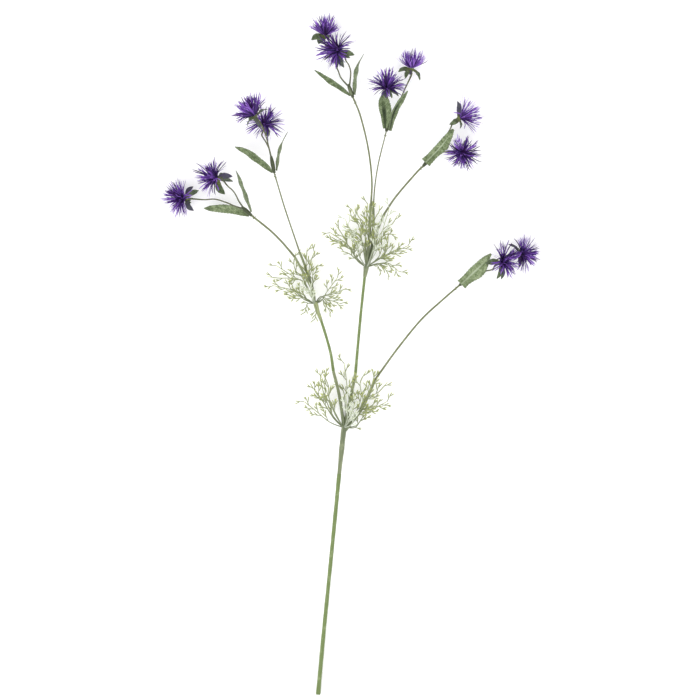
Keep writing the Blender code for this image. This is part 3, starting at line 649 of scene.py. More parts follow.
def chain(points, radii, ages=(0, 0), painted_highlight=0.0):
    """One line for the tree, with its radii and ages spread evenly along it."""
    shares = [k / (len(points) - 1) for k in range(len(points))]
    return points, [blend(radii, s) for s in shares], [blend(ages, s) for s in shares], [painted_highlight] * len(points)


def line_mesh(chains):
    """Chains of edges. Each chain is its points, and a thickness, age and painted highlight for each point.
    """
    mesh = bpy.data.meshes.new("lines")
    edges = []
    first = 0
    for points, *_ in chains:
        edges += [(first + k, first + k + 1) for k in range(len(points) - 1)]
        first += len(points)
    mesh.from_pydata([placed(point) for points, *_ in chains for point in points], edges, [])
    for place, label in enumerate(("thickness", "age", "painted_highlight"), 1):
        unit = MM if label == "thickness" else 1
        values = [unit * value for chain in chains for value in chain[place]]
        mesh.attributes.new(label, "FLOAT", "POINT").data.foreach_set("value", values)
    return mesh


def tube_piece(node, chains, sides, seam, plastic):
    """Grows tubes along the chains, in the place of the model's node."""
    mesh = grown(line_mesh(chains), TUBE_TREE, Sides=sides, Seam=seam, Material=plastic)
    return finished(node, mesh)


print(f"the tube tree has {len(TUBE_TREE.nodes)} nodes")

# %% [markdown]
# ## Colours and patterns
#
# Every finish of the spray is made from the same few steps: colours that follow one another as a
# number rises, one colour laid over another, soft noise, and a little relief. The numbers come from
# what the trees and sheets keep on each piece, so that one material can serve many pieces.

# %% Make the paint helpers


def rgb(red, green, blue):
    """A colour given as on a screen, from 0 to 255, as Blender's linear colour."""
    parts = [value / 255 for value in (red, green, blue)]
    return *(v / 12.92 if v <= 0.04045 else ((v + 0.055) / 1.055) ** 2.4 for v in parts), 1


def ramp(w, factor, *stops):
    """Colours that follow one another as the factor rises: each stop is its place and its colour."""
    node = w.add("ShaderNodeValToRGB", {0: factor})
    elements = node.color_ramp.elements
    while len(elements) < len(stops):
        elements.new(0.5)
    for element, (place, colour) in zip(elements, stops):
        element.position = place
        element.color = colour
    return Signal(w, node.outputs[0])


def mixed(w, factor, first, second, blend_type="MIX"):
    """The first colour, turning into the second as the factor rises."""
    wires = {0: factor, 6: first, 7: second}
    return w.out("ShaderNodeMix", wires, 2, data_type="RGBA", blend_type=blend_type)


def noise(w, vector, scale, detail=3.0):
    """Soft noise from 0 to 1."""
    return w.out("ShaderNodeTexNoise", {"Vector": vector, "Scale": scale, "Detail": detail})


def object_place(w):
    """Where a point of the piece is, for patterns that run through the piece."""
    return w.out("ShaderNodeTexCoord", output="Object")


def read(w, name):
    """A number that the piece carries, as the material sees it."""
    return w.out("ShaderNodeAttribute", output="Fac", attribute_name=name)


def coloured(w, shader, colour, height, depth):
    """Gives the shader its colour, and raises the surface a little by the height."""
    bump = w.add("ShaderNodeBump", {"Height": height, "Distance": depth, "Strength": 1.0})
    w.tree.links.new(colour.socket, shader.inputs["Base Color"])
    w.tree.links.new(bump.outputs[0], shader.inputs["Normal"])


print("the paint helpers are ready")

# %% [markdown]
# ## Plastic for stems and fronds
#
# The stems are polyethylene with a thin coat of paint: sage green, with paler and darker streaks
# along them and small blotches where the paint has worn. The fronds are the same plastic without
# paint, grey-green in their older parts and yellow-green at their tips, and a few that rise high
# carry a painted white highlight. Each piece carries its age and its painted highlight, and the
# material turns those into colour. Noise draws the streaks, since it follows any stem without a
# seam, which a wrapped picture would not.

# %% Mix the plastics
STREAKS_ALONG = 26
STREAK_SCALE = 2.2
BLOTCH_SCALE = 160
WORN_PAINT = rgb(186, 196, 158)
# Painted white highlight, laid on the fronds that rise high towards the light.
HIGHLIGHT_WHITE = rgb(232, 238, 226)
PLASTIC_RELIEF = 0.0002


def plastic(name, *colours):
    """Painted plastic with lengthwise streaks, from an old colour to a young one and its tips."""
    young, old, streak, tip = (rgb(*colour) for colour in colours)
    made, shader = new_material(name, 0.5, Specular_IOR_Level=0.35)
    w = Wiring(made.node_tree)
    across = w.out("ShaderNodeAttribute", output="Vector", attribute_name="across")
    grain = noise(w, across + w.joined(0, 0, read(w, "along") * STREAKS_ALONG), STREAK_SCALE)
    blotch = noise(w, object_place(w), BLOTCH_SCALE, 4.0)
    colour = ramp(w, read(w, "age"), (0.0, old), (0.45, young), (0.8, young), (1.0, tip))
    colour = mixed(w, grain.past(0.42, 2.6) * 0.55, colour, streak)
    colour = mixed(w, blotch.past(0.55, 3.0) * 0.5, colour, WORN_PAINT)
    # Painted highlight: fronds that rise high turn white.
    colour = mixed(w, read(w, "painted_highlight"), colour, HIGHLIGHT_WHITE)
    coloured(w, shader, colour, grain + blotch * 0.4, PLASTIC_RELIEF)
    return made


# Each plastic has its young, old, streak and tip colours.
STEM_PLASTIC = plastic("painted stem", (104, 122, 70), (86, 104, 54), (132, 148, 100), (94, 112, 60))
SPRIG_PLASTIC = plastic("sprig stem", (104, 110, 76), (90, 96, 62), (132, 138, 104), (106, 110, 70))
STALK_PLASTIC = plastic("dark stalk", (88, 90, 64), (48, 60, 38), (112, 114, 82), (118, 122, 86))
FROND_PLASTIC = plastic("frond", (148, 156, 110), (96, 106, 80), (164, 172, 136), (194, 202, 88))
print("plastics: painted stem, sprig stem, dark stalk, frond")

# %% [markdown]
# ## The stems
#
# Three main stems and six sprig stems are wire with a plastic coat. Nine short lines and the tube
# tree make them. A bevelled curve could too, but the tree keeps the age of the paint along a stem.
# A stem is slightly uneven where the coat has shrunk on the wire, so its radius wavers by a few
# hundredths, from a sum of two sines rather than from chance.

# %% Grow the stems
STEM_STEP = 2.5
STEM_SIDES = 20
STEM_SEAM = 0.045
STEM_AGES = (0.35, 0.75, 0.4)
WAVER = 0.025


def stem_chain(route, radii):
    """A stem's line, with its radius wavering a little."""
    count = round(line_length(smooth(route, 20)) / STEM_STEP)
    points, sizes, ages, painted_highlight = chain(smooth(route, count), radii, STEM_AGES)
    for k, size in enumerate(sizes):
        sizes[k] = size * (1 + WAVER * (math.sin(0.9 * k) + math.sin(0.37 * k + 1)))
    return points, sizes, ages, painted_highlight


stem_faces = 0
for node, route in STEMS.items():
    chains = [stem_chain(route, STEM_RADII[node])]
    stem_faces += tube_piece(node, chains, STEM_SIDES, STEM_SEAM, STEM_PLASTIC)
print(f"{len(STEMS)} main stems: {stem_faces} faces")

# %% [markdown]
# Each sprig stem has a few tiny spikes a little below its leaves, like the stubs of stipules. They
# are short tapered lines that stand out from the stem, and go into the same mesh.

# %% Grow the sprig stems
SPIKE_COUNT = 5
SPIKE_PLACE = 0.955
SPIKE_LENGTH = 2.6
SPIKE_RADII = (0.3, 0.24, 0.06)
SPRIG_SIDES = 14


def spikes(route, radius, seed):
    """Short tapered spikes round a stem, near its upper end."""
    rng = random.Random(seed)
    line = smooth(route, 200)
    found = []
    for k in range(SPIKE_COUNT):
        index = round((SPIKE_PLACE + rng.uniform(-0.02, 0.02)) * (len(line) - 1))
        way = (line[index + 1] - line[index]).normalized()
        turn = 2 * math.pi * k / SPIKE_COUNT + rng.uniform(-0.4, 0.4)
        side = Quaternion(way, turn) @ way.orthogonal().normalized()
        root = line[index] + side * radius * 0.7
        tip = root + (side + 0.5 * way).normalized() * SPIKE_LENGTH * rng.uniform(0.6, 1)
        found.append(chain([root, root.lerp(tip, 0.5), tip], SPIKE_RADII, (0.6, 1)))
    return found


sprig_faces = 0
for number, sprig in enumerate(SPRIGS, 1):
    chains = [stem_chain(sprig.stem, sprig.radii), *spikes(sprig.stem, sprig.radii[1], number)]
    sprig_faces += tube_piece(f"sprig_{number}_stem", chains, SPRIG_SIDES, STEM_SEAM, SPRIG_PLASTIC)
print(f"{len(SPRIGS)} sprig stems: {sprig_faces} faces")

# %% [markdown]
# ## Sleeves and stalks
#
# A dark sleeve is pushed over the end of each sprig stem, and two thin stalks leave it for the
# heads. The stalk runs on along the way its head faces, so that the calyx sits straight on it.

# %% Grow the sleeves and stalks
CORE_RADIUS = 3.0
CORE_LEAD = 1.4
GAP = 0.3
CUP_FRONT = CORE_RADIUS - CORE_LEAD + GAP
CUP_DEPTH = 3.8
SLEEVE_RADII = (1.3, 1.7, 2.0, 2.0, 1.7, 1.1)
STALK_RADII = (0.85, 0.68, 0.62, 0.66, 0.9)
STALK_LEAD = 3.5
SLEEVE_POINTS = 9
STALK_POINTS = 34
STALK_SIDES = 12
STALK_SEAM = 0.05


def aim(head):
    """The way a head faces."""
    heading = math.radians(head.heading)
    tilt = math.radians(head.tilt)
    level = Vector((math.cos(heading), math.sin(heading), 0))
    return math.cos(tilt) * level + math.sin(tilt) * UP


def sleeve_chains(sprig):
    """The sleeve of a sprig, and its two stalks."""
    start = Vector(sprig.stem[-1])
    end = Vector(sprig.sleeve_end)
    inside = end + STALK_LEAD * (start - end).normalized()
    found = [chain(smooth([start, end], SLEEVE_POINTS), SLEEVE_RADII, (0.1, 0.0))]
    for head in sprig.heads:
        way = aim(head)
        foot = Vector(head.centre) - way * (CUP_FRONT + CUP_DEPTH)
        stalk = [inside, *head.stalk, foot - way * STALK_LEAD, foot]
        found.append(chain(smooth(stalk, STALK_POINTS), STALK_RADII, (0.15, 0.45, 0.5, 0.3)))
    return found


sleeve_faces = 0
for number, sprig in enumerate(SPRIGS, 1):
    node = f"sprig_{number}_sleeve"
    sleeve_faces += tube_piece(node, sleeve_chains(sprig), STALK_SIDES, STALK_SEAM, STALK_PLASTIC)
print(f"{len(SPRIGS)} sleeves with their stalks: {sleeve_faces} faces")

# %% [markdown]
# ## Fronds
#
# A moulded fork carries a ring of fronds like dill. Drawing their hundreds of twigs by hand would
# take days, so loops write their lines and the tube tree gives them bodies. Every twig bends from
# one way to another, and its end swells into a long club.

# %% Draw a clubbed line
CLUB_RADII = (0.24, 0.46, 0.54, 0.52, 0.46, 0.4, 0.37)
CLUB_LENGTH = 5.2
TABLE_CLEARANCE = 1.2


def leaning(root, way, lean, length, count):
    """A line that sets out one way and turns little by little to another."""
    points = [root.copy()]
    for k in range(count - 1):
        step = way.lerp(lean, (k + 0.5) / (count - 1)).normalized() * length / (count - 1)
        points.append(points[-1] + step)
    for point in points:
        point.z = max(point.z, TABLE_CLEARANCE)
    return points


def clubbed(line, length, stout, ages, painted_highlight):
    """A line whose last few millimetres swell into a club."""
    left = [length * (1 - k / (len(line) - 1)) for k in range(len(line))]
    radii = [stout * blend(CLUB_RADII, min(1, rest / CLUB_LENGTH)) for rest in left]
    return chain(line, radii, ages, painted_highlight)


sample = leaning(Vector(), UP, Vector((1, 0, 0)), 10, 12)
print(f"a twig of 10 mm that turns aside ends {sample[-1].x:.1f} mm off its way")

# %% [markdown]
# ## A twig
#
# A twig has side twigs on alternate hands, at nearly even steps, which reach further the more of
# the twig is left ahead of them. No two are alike, so angles, steps and lengths waver by a fifth or
# so. The chance comes from a seed, which makes them the same on each run.

# %% Write the rule of a twig
SIDE_ANGLE = 31
SIDE_STEP = 3.4
SIDE_START = 0.25
SIDE_LEFT = 2.8
SIDE_REACH = 3.4
SIDE_SHARE = 0.3
SIDE_LEAN = 0.2
TWIG_AGES = (0.1, 0.3, 0.7, 1.0)
SIDE_AGES = (0.3, 0.7, 1.0)
SIDE_STRAY = 0.2
TWIG_POINTS = 12
SIDE_POINTS = 7
BY_A_FIFTH = (0.8, 1.2)
BY_A_SEVENTH = (0.85, 1.15)


def twig(root, way, across, lean, length, rng, stout, painted_highlight):
    """A twig with short side twigs, all ending in clubs."""
    line = leaning(root, way, (2 * way + lean).normalized(), length, TWIG_POINTS)
    ways = directions(line)
    found = [clubbed(line, length, stout, TWIG_AGES, painted_highlight)]
    hand = rng.choice((-1, 1))
    place = max(SIDE_STEP * rng.uniform(0.7, 1.2), SIDE_START * length)
    while place < length - SIDE_LEFT:
        index = round(place / length * (len(line) - 1))
        turn = math.radians(hand * SIDE_ANGLE * rng.uniform(*BY_A_FIFTH))
        side_way = Quaternion(across, turn) @ ways[index] + across * rng.uniform(-SIDE_STRAY, SIDE_STRAY)
        side_way.normalize()
        reach = (SIDE_REACH + SIDE_SHARE * (length - place)) * rng.uniform(*BY_A_SEVENTH)
        side_lean = (side_way + SIDE_LEAN * lean).normalized()
        side_line = leaning(line[index], side_way, side_lean, reach, SIDE_POINTS)
        found.append(clubbed(side_line, reach, stout, SIDE_AGES, painted_highlight))
        place += SIDE_STEP * rng.uniform(*BY_A_FIFTH)
        hand = -hand
    return found


sample = twig(Vector(), UP, Vector((1, 0, 0)), Vector((0, 1, 0)), 15, random.Random(1), 1, 0)
print(f"a twig of 15 mm has {len(sample) - 1} side twigs")

# %% [markdown]
# ## The rule of a frond
#
# A frond is a spine with curved twigs on alternate sides, which turn the way the plant grows. One
# chain of chance sets out the twigs, as in the model, and another one their side twigs, of which
# the model has fewer.

# %% Write the rule of a frond
TWIG_PLACES = (0.36, 0.5, 0.62, 0.74, 0.86, 0.98)
TWIG_ANGLE = 39
TWIG_SHRINK = 0.35
TWIG_ROLL = 14
SPINE_POINTS = 24
SPINE_RADII = (0.62, 0.54, 0.48, 0.44, 0.42, 0.4, 0.48, 0.25)
SPINE_AGES = (0.0, 0.1, 0.3, 0.5, 1.0)
GROWTH = Vector((0, 0.55, 0))


def frond_chains(reach, roll, stout, painted_highlight, route, seed, places=TWIG_PLACES, spine=SPINE_RADII):
    """All the lines of one frond."""
    rng = random.Random(seed)
    side_rng = random.Random(seed + 50)
    fine = smooth(route, SPINE_POINTS)
    ways = directions(fine)
    lean = (Vector(route[-1]) - Vector(route[0])).normalized()
    if lean.y > 0:
        lean += GROWTH
    found = [chain(fine, spine, SPINE_AGES, 0.5 * painted_highlight)]
    for k, place in enumerate(places):
        index = round(place * (len(fine) - 1))
        way = ways[index]
        across = Quaternion(way, math.radians(roll + rng.uniform(-TWIG_ROLL, TWIG_ROLL))) @ UP
        hand = 1 if k % 2 else -1
        turn = math.radians(hand * TWIG_ANGLE * rng.uniform(*BY_A_FIFTH))
        twig_way = Quaternion(across, turn) @ way
        length = reach * (1 - TWIG_SHRINK * place) * rng.uniform(*BY_A_SEVENTH)
        # The model draws the angle of its one side twig here. Drawing it too keeps in step with it.
        rng.uniform(*BY_A_FIFTH)
        found += twig(fine[index], twig_way, across, lean, length, side_rng, stout, painted_highlight)
    return found


sample = frond_chains(15, 0, 1, 0, FORKS["lower_fork"].fronds[0].route, 100)
print(f"one frond has {len(sample)} lines")

# %% [markdown]
# ## The plan of the finer fronds
#
# The fronds that were noted down first are the model's own, drawn here with the same seeds. The
# model leaves room between them to keep its faces few. Finer fronds fill that room, each placed
# where twigs show in the photograph.

# %% Note down the finer fronds
# Each one has its reach, how stout it is, how much painted white highlight it carries, and its route.
FINE_FRONDS = {
    "lower_fork": [
        (8, 1.0, 0, [(25, 267, 16), (16, 276, 15), (6, 291, 13), (-1, 300, 12), (-6, 308, 11)]),
        (8, 1.0, 0, [(25, 267, 17), (17, 280, 19), (11, 296, 21), (10, 309, 22), (4.5, 321.5, 23)]),
        (6, 0.9, 0, [(25, 267, 16), (14, 280, 15), (6, 300, 15), (3, 312, 15), (1.5, 323.5, 15)]),
        (5, 0.9, 0, [(26, 268, 14), (27, 290, 12), (24, 306, 11), (15, 310.5, 10)]),
        (7, 1.5, 0, [(27, 268, 20), (36, 290, 23), (35, 304, 25), (34, 318, 26)]),
        (8, 1.4, 0, [(27, 267, 19), (39, 285, 21), (43, 299, 23), (42, 312, 25), (48, 323.5, 26)]),
        (6, 1.5, 0, [(28, 268, 19), (44, 287, 20), (53, 308, 21), (57.5, 323.5, 22)]),
        (9, 1.1, 0, [(27, 267, 17), (41, 283, 16), (50, 297, 15), (60, 302, 15), (69.5, 312.5, 15)]),
        (8, 1.5, 0, [(27, 267, 18), (41, 282, 20), (52, 288, 21), (65, 288, 22)]),
        (5, 0.9, 0, [(26, 267, 15), (37, 267, 13), (43, 275, 12), (50, 283, 11)]),
        (7, 1.0, 0.7, [(26, 267, 18), (29, 275, 26), (29, 287, 31), (27, 300, 34)]),
        (6, 1.0, 0.8, [(27, 267, 20), (33, 270, 28), (36, 277, 31), (34, 287, 33)]),
    ],
    "left_fork": [
        (9, 1.0, 0, [(-5, 394, 18), (-14, 412, 20), (-24, 416, 20), (-40, 416.5, 19), (-51, 418, 18)]),
        (10, 1.2, 0, [(-4, 391, 17), (-12, 396, 13), (-20, 399, 11), (-29, 398, 9)]),
        (9, 1.0, 0, [(-6, 400, 16), (-9, 415, 17), (-12, 430, 18), (-11, 447, 19)]),
        (9, 1.2, 0, [(-5, 400, 19), (-5.5, 418, 21), (-4.5, 424.5, 22), (0, 430, 23)]),
        (9, 1.0, 0, [(-6, 398, 13), (-16, 417, 12), (-22, 423, 11), (-24.5, 432, 10), (-22, 443, 9)]),
        (7, 0.9, 0, [(-2, 392, 19), (6, 399, 20), (15, 400.5, 20), (29, 406.5, 20)]),
        (7, 1.1, 0, [(-2, 391, 17), (4, 395, 15), (8, 389, 13), (13, 381, 11)]),
        (7, 1.1, 0, [(-3.5, 390, 20), (-2, 386, 20), (-2.5, 379, 19), (-4, 374, 18)]),
        (6, 1.0, 0, [(-4, 391, 19), (-10.5, 391, 18), (-12, 387, 17), (-13.5, 381, 16)]),
        (8, 1.0, 0.6, [(-4, 391, 19), (-6, 394, 26), (-6, 400, 31), (-8, 406, 34)]),
        (10, 1.2, 0, [(-4, 391, 18), (-12, 395, 20), (-19, 401, 21), (-27, 408, 21)]),
    ],
    "middle_fork": [
        (11, 1.0, 0, [(47.5, 427.5, 20), (39, 434, 17.5), (31, 447.5, 15.5), (24, 453, 14), (11, 453, 12)]),
        (10, 1.0, 0, [(47.5, 427.5, 20), (38, 437, 19), (29.5, 450, 19), (23.5, 461, 18), (18, 469, 17)]),
        (7, 0.9, 0, [(47, 427.5, 18), (37, 436, 14), (31, 441, 12), (23, 443.5, 10.5)]),
        (10, 1.5, 0, [(48, 430, 23), (46, 448, 27), (41, 458, 30), (36, 463, 31), (29, 465, 32)]),
        (8, 1.4, 0, [(48, 430, 22), (44, 450, 24), (37, 459, 27), (30, 460, 28)]),
        (8, 1.1, 0, [(47.5, 428, 19), (42, 437, 20), (40.5, 445, 21), (38, 452, 22), (34, 458, 23)]),
        (9, 1.3, 0, [(48, 430, 22), (50, 455, 26), (46, 471, 29), (40, 478, 31), (37.5, 488, 33)]),
        (8, 1.3, 0, [(48, 430, 22), (47, 458, 26), (42, 470, 29), (35, 477, 31), (28.5, 480.5, 32)]),
        (8, 1.5, 0, [(49, 430, 20), (51, 460, 24), (50.5, 476, 28), (46, 486, 31)]),
        (7, 1.3, 0, [(49, 430, 21), (53, 460, 26), (57, 476, 29), (61, 483, 31), (61, 489, 32)]),
        (6, 1.5, 0, [(50, 440, 25), (52, 470, 30), (53, 482, 32), (56, 492, 33)]),
        (9, 1.0, 0, [(49, 428, 21), (58, 452, 23), (66, 466, 24), (74, 470.5, 25), (79.5, 479.5, 26)]),
        (8, 1.6, 0, [(49, 428, 22), (58, 448, 26), (67, 459.5, 29), (78, 459.5, 30)]),
        (8, 1.0, 0, [(48.5, 427.5, 20), (60, 437, 21), (63.5, 448, 22), (63, 460, 23)]),
        (9, 1.1, 0, [(48.5, 427.5, 19), (66, 440, 18), (69.5, 452, 18), (70, 463, 18)]),
        (7, 0.9, 0, [(48.5, 427.5, 19), (66, 439, 17), (78, 443, 16), (88, 444, 15)]),
        (7, 0.9, 0, [(48.5, 427.5, 19), (60, 431, 15), (66, 427, 12), (72, 417, 9)]),
        (4, 0.8, 0, [(48.5, 427, 18), (56, 430, 14), (60, 428, 12), (63, 420, 10)]),
        (8, 1.2, 0.6, [(49, 428, 24), (56, 448, 30), (58, 460, 33), (60, 472, 35)]),
    ],
}
print(f"{sum(len(fronds) for fronds in FINE_FRONDS.values())} finer fronds")

# %% [markdown]
# ## The forks
#
# A fork has a socket over the stem below and an arm for each stem above. The socket swells a little
# towards its end, and an arm thins towards its stem. The three forks differ a little in colour, which
# the ages of their sockets and arms give. Fronds that end high above the table get a painted white
# highlight.

# %% Grow the forks
ARM_TAPER = 0.85
HIGHLIGHT_HEIGHT = 34
HIGHLIGHT_SHARE = 0.6
FORK_SIDES = 6
SOCKET_POINTS = 16
ARM_POINTS = 26
FINE_PLACES = (0.34, 0.48, 0.62, 0.76, 0.9)
FINE_SPINE_RADII = (0.5, 0.48, 0.46, 0.44, 0.42, 0.42, 0.52, 0.25)
FINE_REACH = {"lower_fork": 1.7, "left_fork": 1.3, "middle_fork": 1.3}
SOCKET_SWELL = (0.97, 1, 1, 1, 1, 1.06, 0.8)
SOCKET_AGES = {"lower_fork": (0.12, 0.0), "left_fork": (0.3, 0.5), "middle_fork": (0.18, 0.0)}
ARM_AGES = {"lower_fork": (0.0, 0.1, 0.2), "left_fork": (0.1, 0.2), "middle_fork": (0.0, 0.05, 0.2)}

fork_faces = 0
for number, (node, fork) in enumerate(FORKS.items(), 1):
    shares = [k / (SOCKET_POINTS - 1) for k in range(SOCKET_POINTS)]
    sizes = [blend(fork.socket_radii, share) * blend(SOCKET_SWELL, share) for share in shares]
    chains = [chain(smooth(fork.socket, SOCKET_POINTS), sizes, SOCKET_AGES[node])]
    for arm in fork.arms:
        radii = (fork.arm_radius, fork.arm_radius * ARM_TAPER)
        chains.append(chain(smooth(arm, ARM_POINTS), radii, ARM_AGES[node]))
    for seed, frond in enumerate(fork.fronds, 100 * number):
        # Painted highlight on the fronds that end high above the table.
        painted_highlight = HIGHLIGHT_SHARE if frond.route[-1][2] > HIGHLIGHT_HEIGHT else 0
        chains += frond_chains(frond.reach, frond.roll, 1, painted_highlight, frond.route, seed)
    for seed, (reach, stout, painted_highlight, route) in enumerate(FINE_FRONDS[node], 100 * number + 20):
        reach *= FINE_REACH[node]
        chains += frond_chains(reach, 0, stout**0.5, painted_highlight, route, seed, FINE_PLACES, FINE_SPINE_RADII)
    fork_faces += tube_piece(node, chains, FORK_SIDES, 0.0, FROND_PLASTIC)
print(f"{len(FORKS)} forks: {fork_faces} faces")

# %% [markdown]
# ## Cloth for leaves and bracts
#
# The leaves are starched polyester cloth, printed and pressed: a mottled grey-green with a fine
# weave, side veins that run forward to a toothed edge, and a midrib that shows pale where the cloth
# lies open. Where a leaf is folded, painted shade darkens the valley along its midrib, and painted
# shade darkens both side edges of every sheet. The pattern has to follow each leaf as it bends, so
# the material reads the leaf's own UV map: U runs across and V along it. Three facts are kept on
# each sheet: how its rib shows, pale or in painted shade, how much painted violet shade lies on it
# under the strands, and how light its print is.

# %% Weave the cloth
MOTTLE_SCALE = 260
SPECKLE_SCALE = 800
STRAND_SHADE_SCALE = 200
VEINS = 70
VEIN_SLANT = 0.5
RIB_WIDTH = 0.09
FOLD_SHADE_WIDTH = 0.11
THREADS = 700
CLOTH_RELIEF = 0.00025
# The pale rib is print. The dark colour after it is painted shade for the valley of a fold.
PALE_RIB = rgb(186, 198, 170)
FOLD_SHADE = rgb(44, 58, 32)
# Violet painted shade, laid where a sheet lies under the strands.
STRAND_SHADE_VIOLET = rgb(74, 64, 98)


def cloth(name, body, shade, light, foot, foot_strength):
    """Printed leaf cloth. The foot's colour shows near the foot of a leaf."""
    made, shader = new_material(name, 0.78, Specular_IOR_Level=0.25, Sheen_Weight=0.2, Sheen_Roughness=0.5)
    w = Wiring(made.node_tree)
    across, along, _ = w.parts(w.out("ShaderNodeUVMap", uv_map="leaf"))
    across = w.math("ABSOLUTE", across - 0.5)
    place = object_place(w)
    mottle = noise(w, place, MOTTLE_SCALE, 4.0)
    speckle = noise(w, place, SPECKLE_SCALE)
    printed = mottle * 0.5 + speckle * 0.5 + read(w, "tone") * 0.1
    colour = ramp(w, printed, (0.39, shade), (0.51, body), (0.62, light))
    vein = w.math("SINE", (along - across * VEIN_SLANT) * VEINS).past(0.8, 5.0)
    colour = mixed(w, vein * 0.35, colour, light)
    fading = (2.4 - along * 2.6).clamped()
    midrib = (1 - across / RIB_WIDTH).clamped() * fading
    fold_shade = (2.0 - across / FOLD_SHADE_WIDTH).clamped() * fading
    rib = read(w, "rib")
    colour = mixed(w, midrib * w.math("MAXIMUM", rib, 0) * 0.9, colour, PALE_RIB)
    # Painted shade darkens the valley along the midrib where a leaf is folded.
    colour = mixed(w, fold_shade * w.math("MAXIMUM", rib * -1, 0), colour, FOLD_SHADE)
    colour = mixed(w, (1 - along * 2.2).clamped() * foot_strength, colour, foot)
    # Painted shade darkens both side edges of the sheet.
    colour = mixed(w, across.past(0.42, 12.0) * 0.4, colour, shade)
    # The dyed fact holds painted violet shade, where a sheet lies under the strands.
    strand_shade_mask = (noise(w, place, STRAND_SHADE_SCALE) * 0.8 + 0.5).clamped()
    colour = mixed(w, strand_shade_mask * read(w, "dyed"), colour, STRAND_SHADE_VIOLET)
    threads = w.out("ShaderNodeTexWave", {"Vector": place, "Scale": THREADS, "Distortion": 1.0}, "Fac")
    coloured(w, shader, colour, midrib + vein + (threads + speckle) * 0.4, CLOTH_RELIEF)
    return made


LEAF_CLOTH = cloth(
    "leaf cloth", body=rgb(122, 138, 98), shade=rgb(82, 98, 62), light=rgb(158, 172, 134),
    foot=rgb(84, 98, 62), foot_strength=0.4,
)
BRACT_CLOTH = cloth(
    "bract cloth", body=rgb(92, 108, 74), shade=rgb(58, 72, 46), light=rgb(122, 136, 100),
    foot=rgb(116, 122, 50), foot_strength=0.8,
)
print("cloths: leaf, bract")

# %% [markdown]
# ## A sheet of cloth
#
# A leaf is a thin sheet folded a little along its midrib, with a waved edge. A flat plane with a
# Solidify modifier would be one way. Here rows of points are laid across the midrib's curve, once
# for the upper face and once for the lower, and closed round the edge, because that keeps the
# model's outline and lets the sheet thin from its midrib to its edges, as a pressed leaf does.

# %% Shape a sheet of cloth
SHEET_COLUMNS = 14
SHEET_THICKNESS = 0.36
FOLD_ROUNDING = 0.02
FOLD_DROP = 0.14
WAVES_ALONG = 17
WAVE_SHIFT = 1.3


def sheet_skin(points, normals, widths, fold, waves, skin):
    """One face of a sheet along a rib, as places and UVs. The skin is 0.5 above and -0.5 below."""
    lean = math.radians(fold)
    places = []
    uvs = []
    for row, (point, way, normal) in enumerate(zip(points, directions(points), normals)):
        side = way.cross(normal).normalized()
        up = side.cross(way).normalized()
        share = row / (len(points) - 1)
        for column in range(SHEET_COLUMNS + 1):
            k = 2 * column / SHEET_COLUMNS - 1
            hand = 1 if k > 0 else -1
            width = widths[row][k > 0]
            rise = math.sin(lean) * (math.sqrt(k * k + FOLD_ROUNDING) - FOLD_DROP) * width
            ripple = waves * k * k * math.sin(share * WAVES_ALONG + WAVE_SHIFT * hand)
            ripple *= math.sin(math.pi * share)
            lift = rise + ripple + skin * SHEET_THICKNESS * (1.5 - abs(k))
            places.append(point + side * hand * math.cos(lean) * width * abs(k) + up * lift)
            uvs.append((column / SHEET_COLUMNS, share))
    return places, uvs


def sheet(points, normals, widths, fold, waves):
    """Places, faces and UVs of one closed sheet. Widths has left and right for each row."""
    places = []
    uvs = []
    for skin in (0.5, -0.5):
        skin_places, skin_uvs = sheet_skin(points, normals, widths, fold, waves, skin)
        places += skin_places
        uvs += skin_uvs
    rows = len(points)
    width = SHEET_COLUMNS + 1
    lower = rows * width
    faces = []
    for row in range(rows - 1):
        for column in range(SHEET_COLUMNS):
            a = row * width + column
            faces.append((a, a + 1, a + 1 + width, a + width))
            faces.append((lower + a, lower + a + width, lower + a + 1 + width, lower + a + 1))
    edge = [row * width for row in range(rows)]
    edge += [(rows - 1) * width + column for column in range(1, width)]
    edge += [row * width + SHEET_COLUMNS for row in range(rows - 2, -1, -1)]
    edge += list(range(SHEET_COLUMNS - 1, 0, -1))
    for a, b in zip(edge, edge[1:] + edge[:1]):
        faces.append((a, b, lower + b, lower + a))
    return places, faces, uvs


print(f"a sheet has {SHEET_COLUMNS} columns and is {1.5 * SHEET_THICKNESS:.2f} mm thick at its rib")

# %% [markdown]
# ## From sheets to a mesh
#
# A leaf is one sheet, and a calyx is several. They are joined into one mesh, which carries the UV
# map and the three facts, because a material can only read what its mesh keeps.

# %% Join sheets into a mesh


def cloth_mesh(sheets, material):
    """One smooth mesh from several sheets, each with its rib, painted violet shade and tone, in the model's
    place.
    """
    places = []
    faces = []
    uvs = []
    # dyed holds the painted violet shade under the strands.
    facts = {"rib": [], "dyed": [], "tone": []}
    for (sheet_places, sheet_faces, sheet_uvs), *values in sheets:
        first = len(places)
        places += sheet_places
        faces += [[first + corner for corner in face] for face in sheet_faces]
        uvs += sheet_uvs
        for fact, value in zip(facts.values(), values):
            fact += [value] * len(sheet_places)
    mesh = bpy.data.meshes.new("cloth")
    mesh.from_pydata([placed(point) for point in places], [], faces)
    layer = mesh.uv_layers.new(name="leaf")
    for loop in mesh.loops:
        layer.data[loop.index].uv = uvs[loop.vertex_index]
    for label, values in facts.items():
        mesh.attributes.new(label, "FLOAT", "POINT").data.foreach_set("value", values)
    mesh.materials.append(material)
    mesh.shade_smooth()
    return mesh


print("sheets can be joined")

# %% [markdown]
# ## Leaves
#
# The leaves are stamped with a toothed edge, and no two are quite alike. Some lie open and show a
# pale rib, others are folded and have painted shade in the valley of the fold, and the print is
# lighter on some than on others. A seed for each leaf sets where its teeth begin.

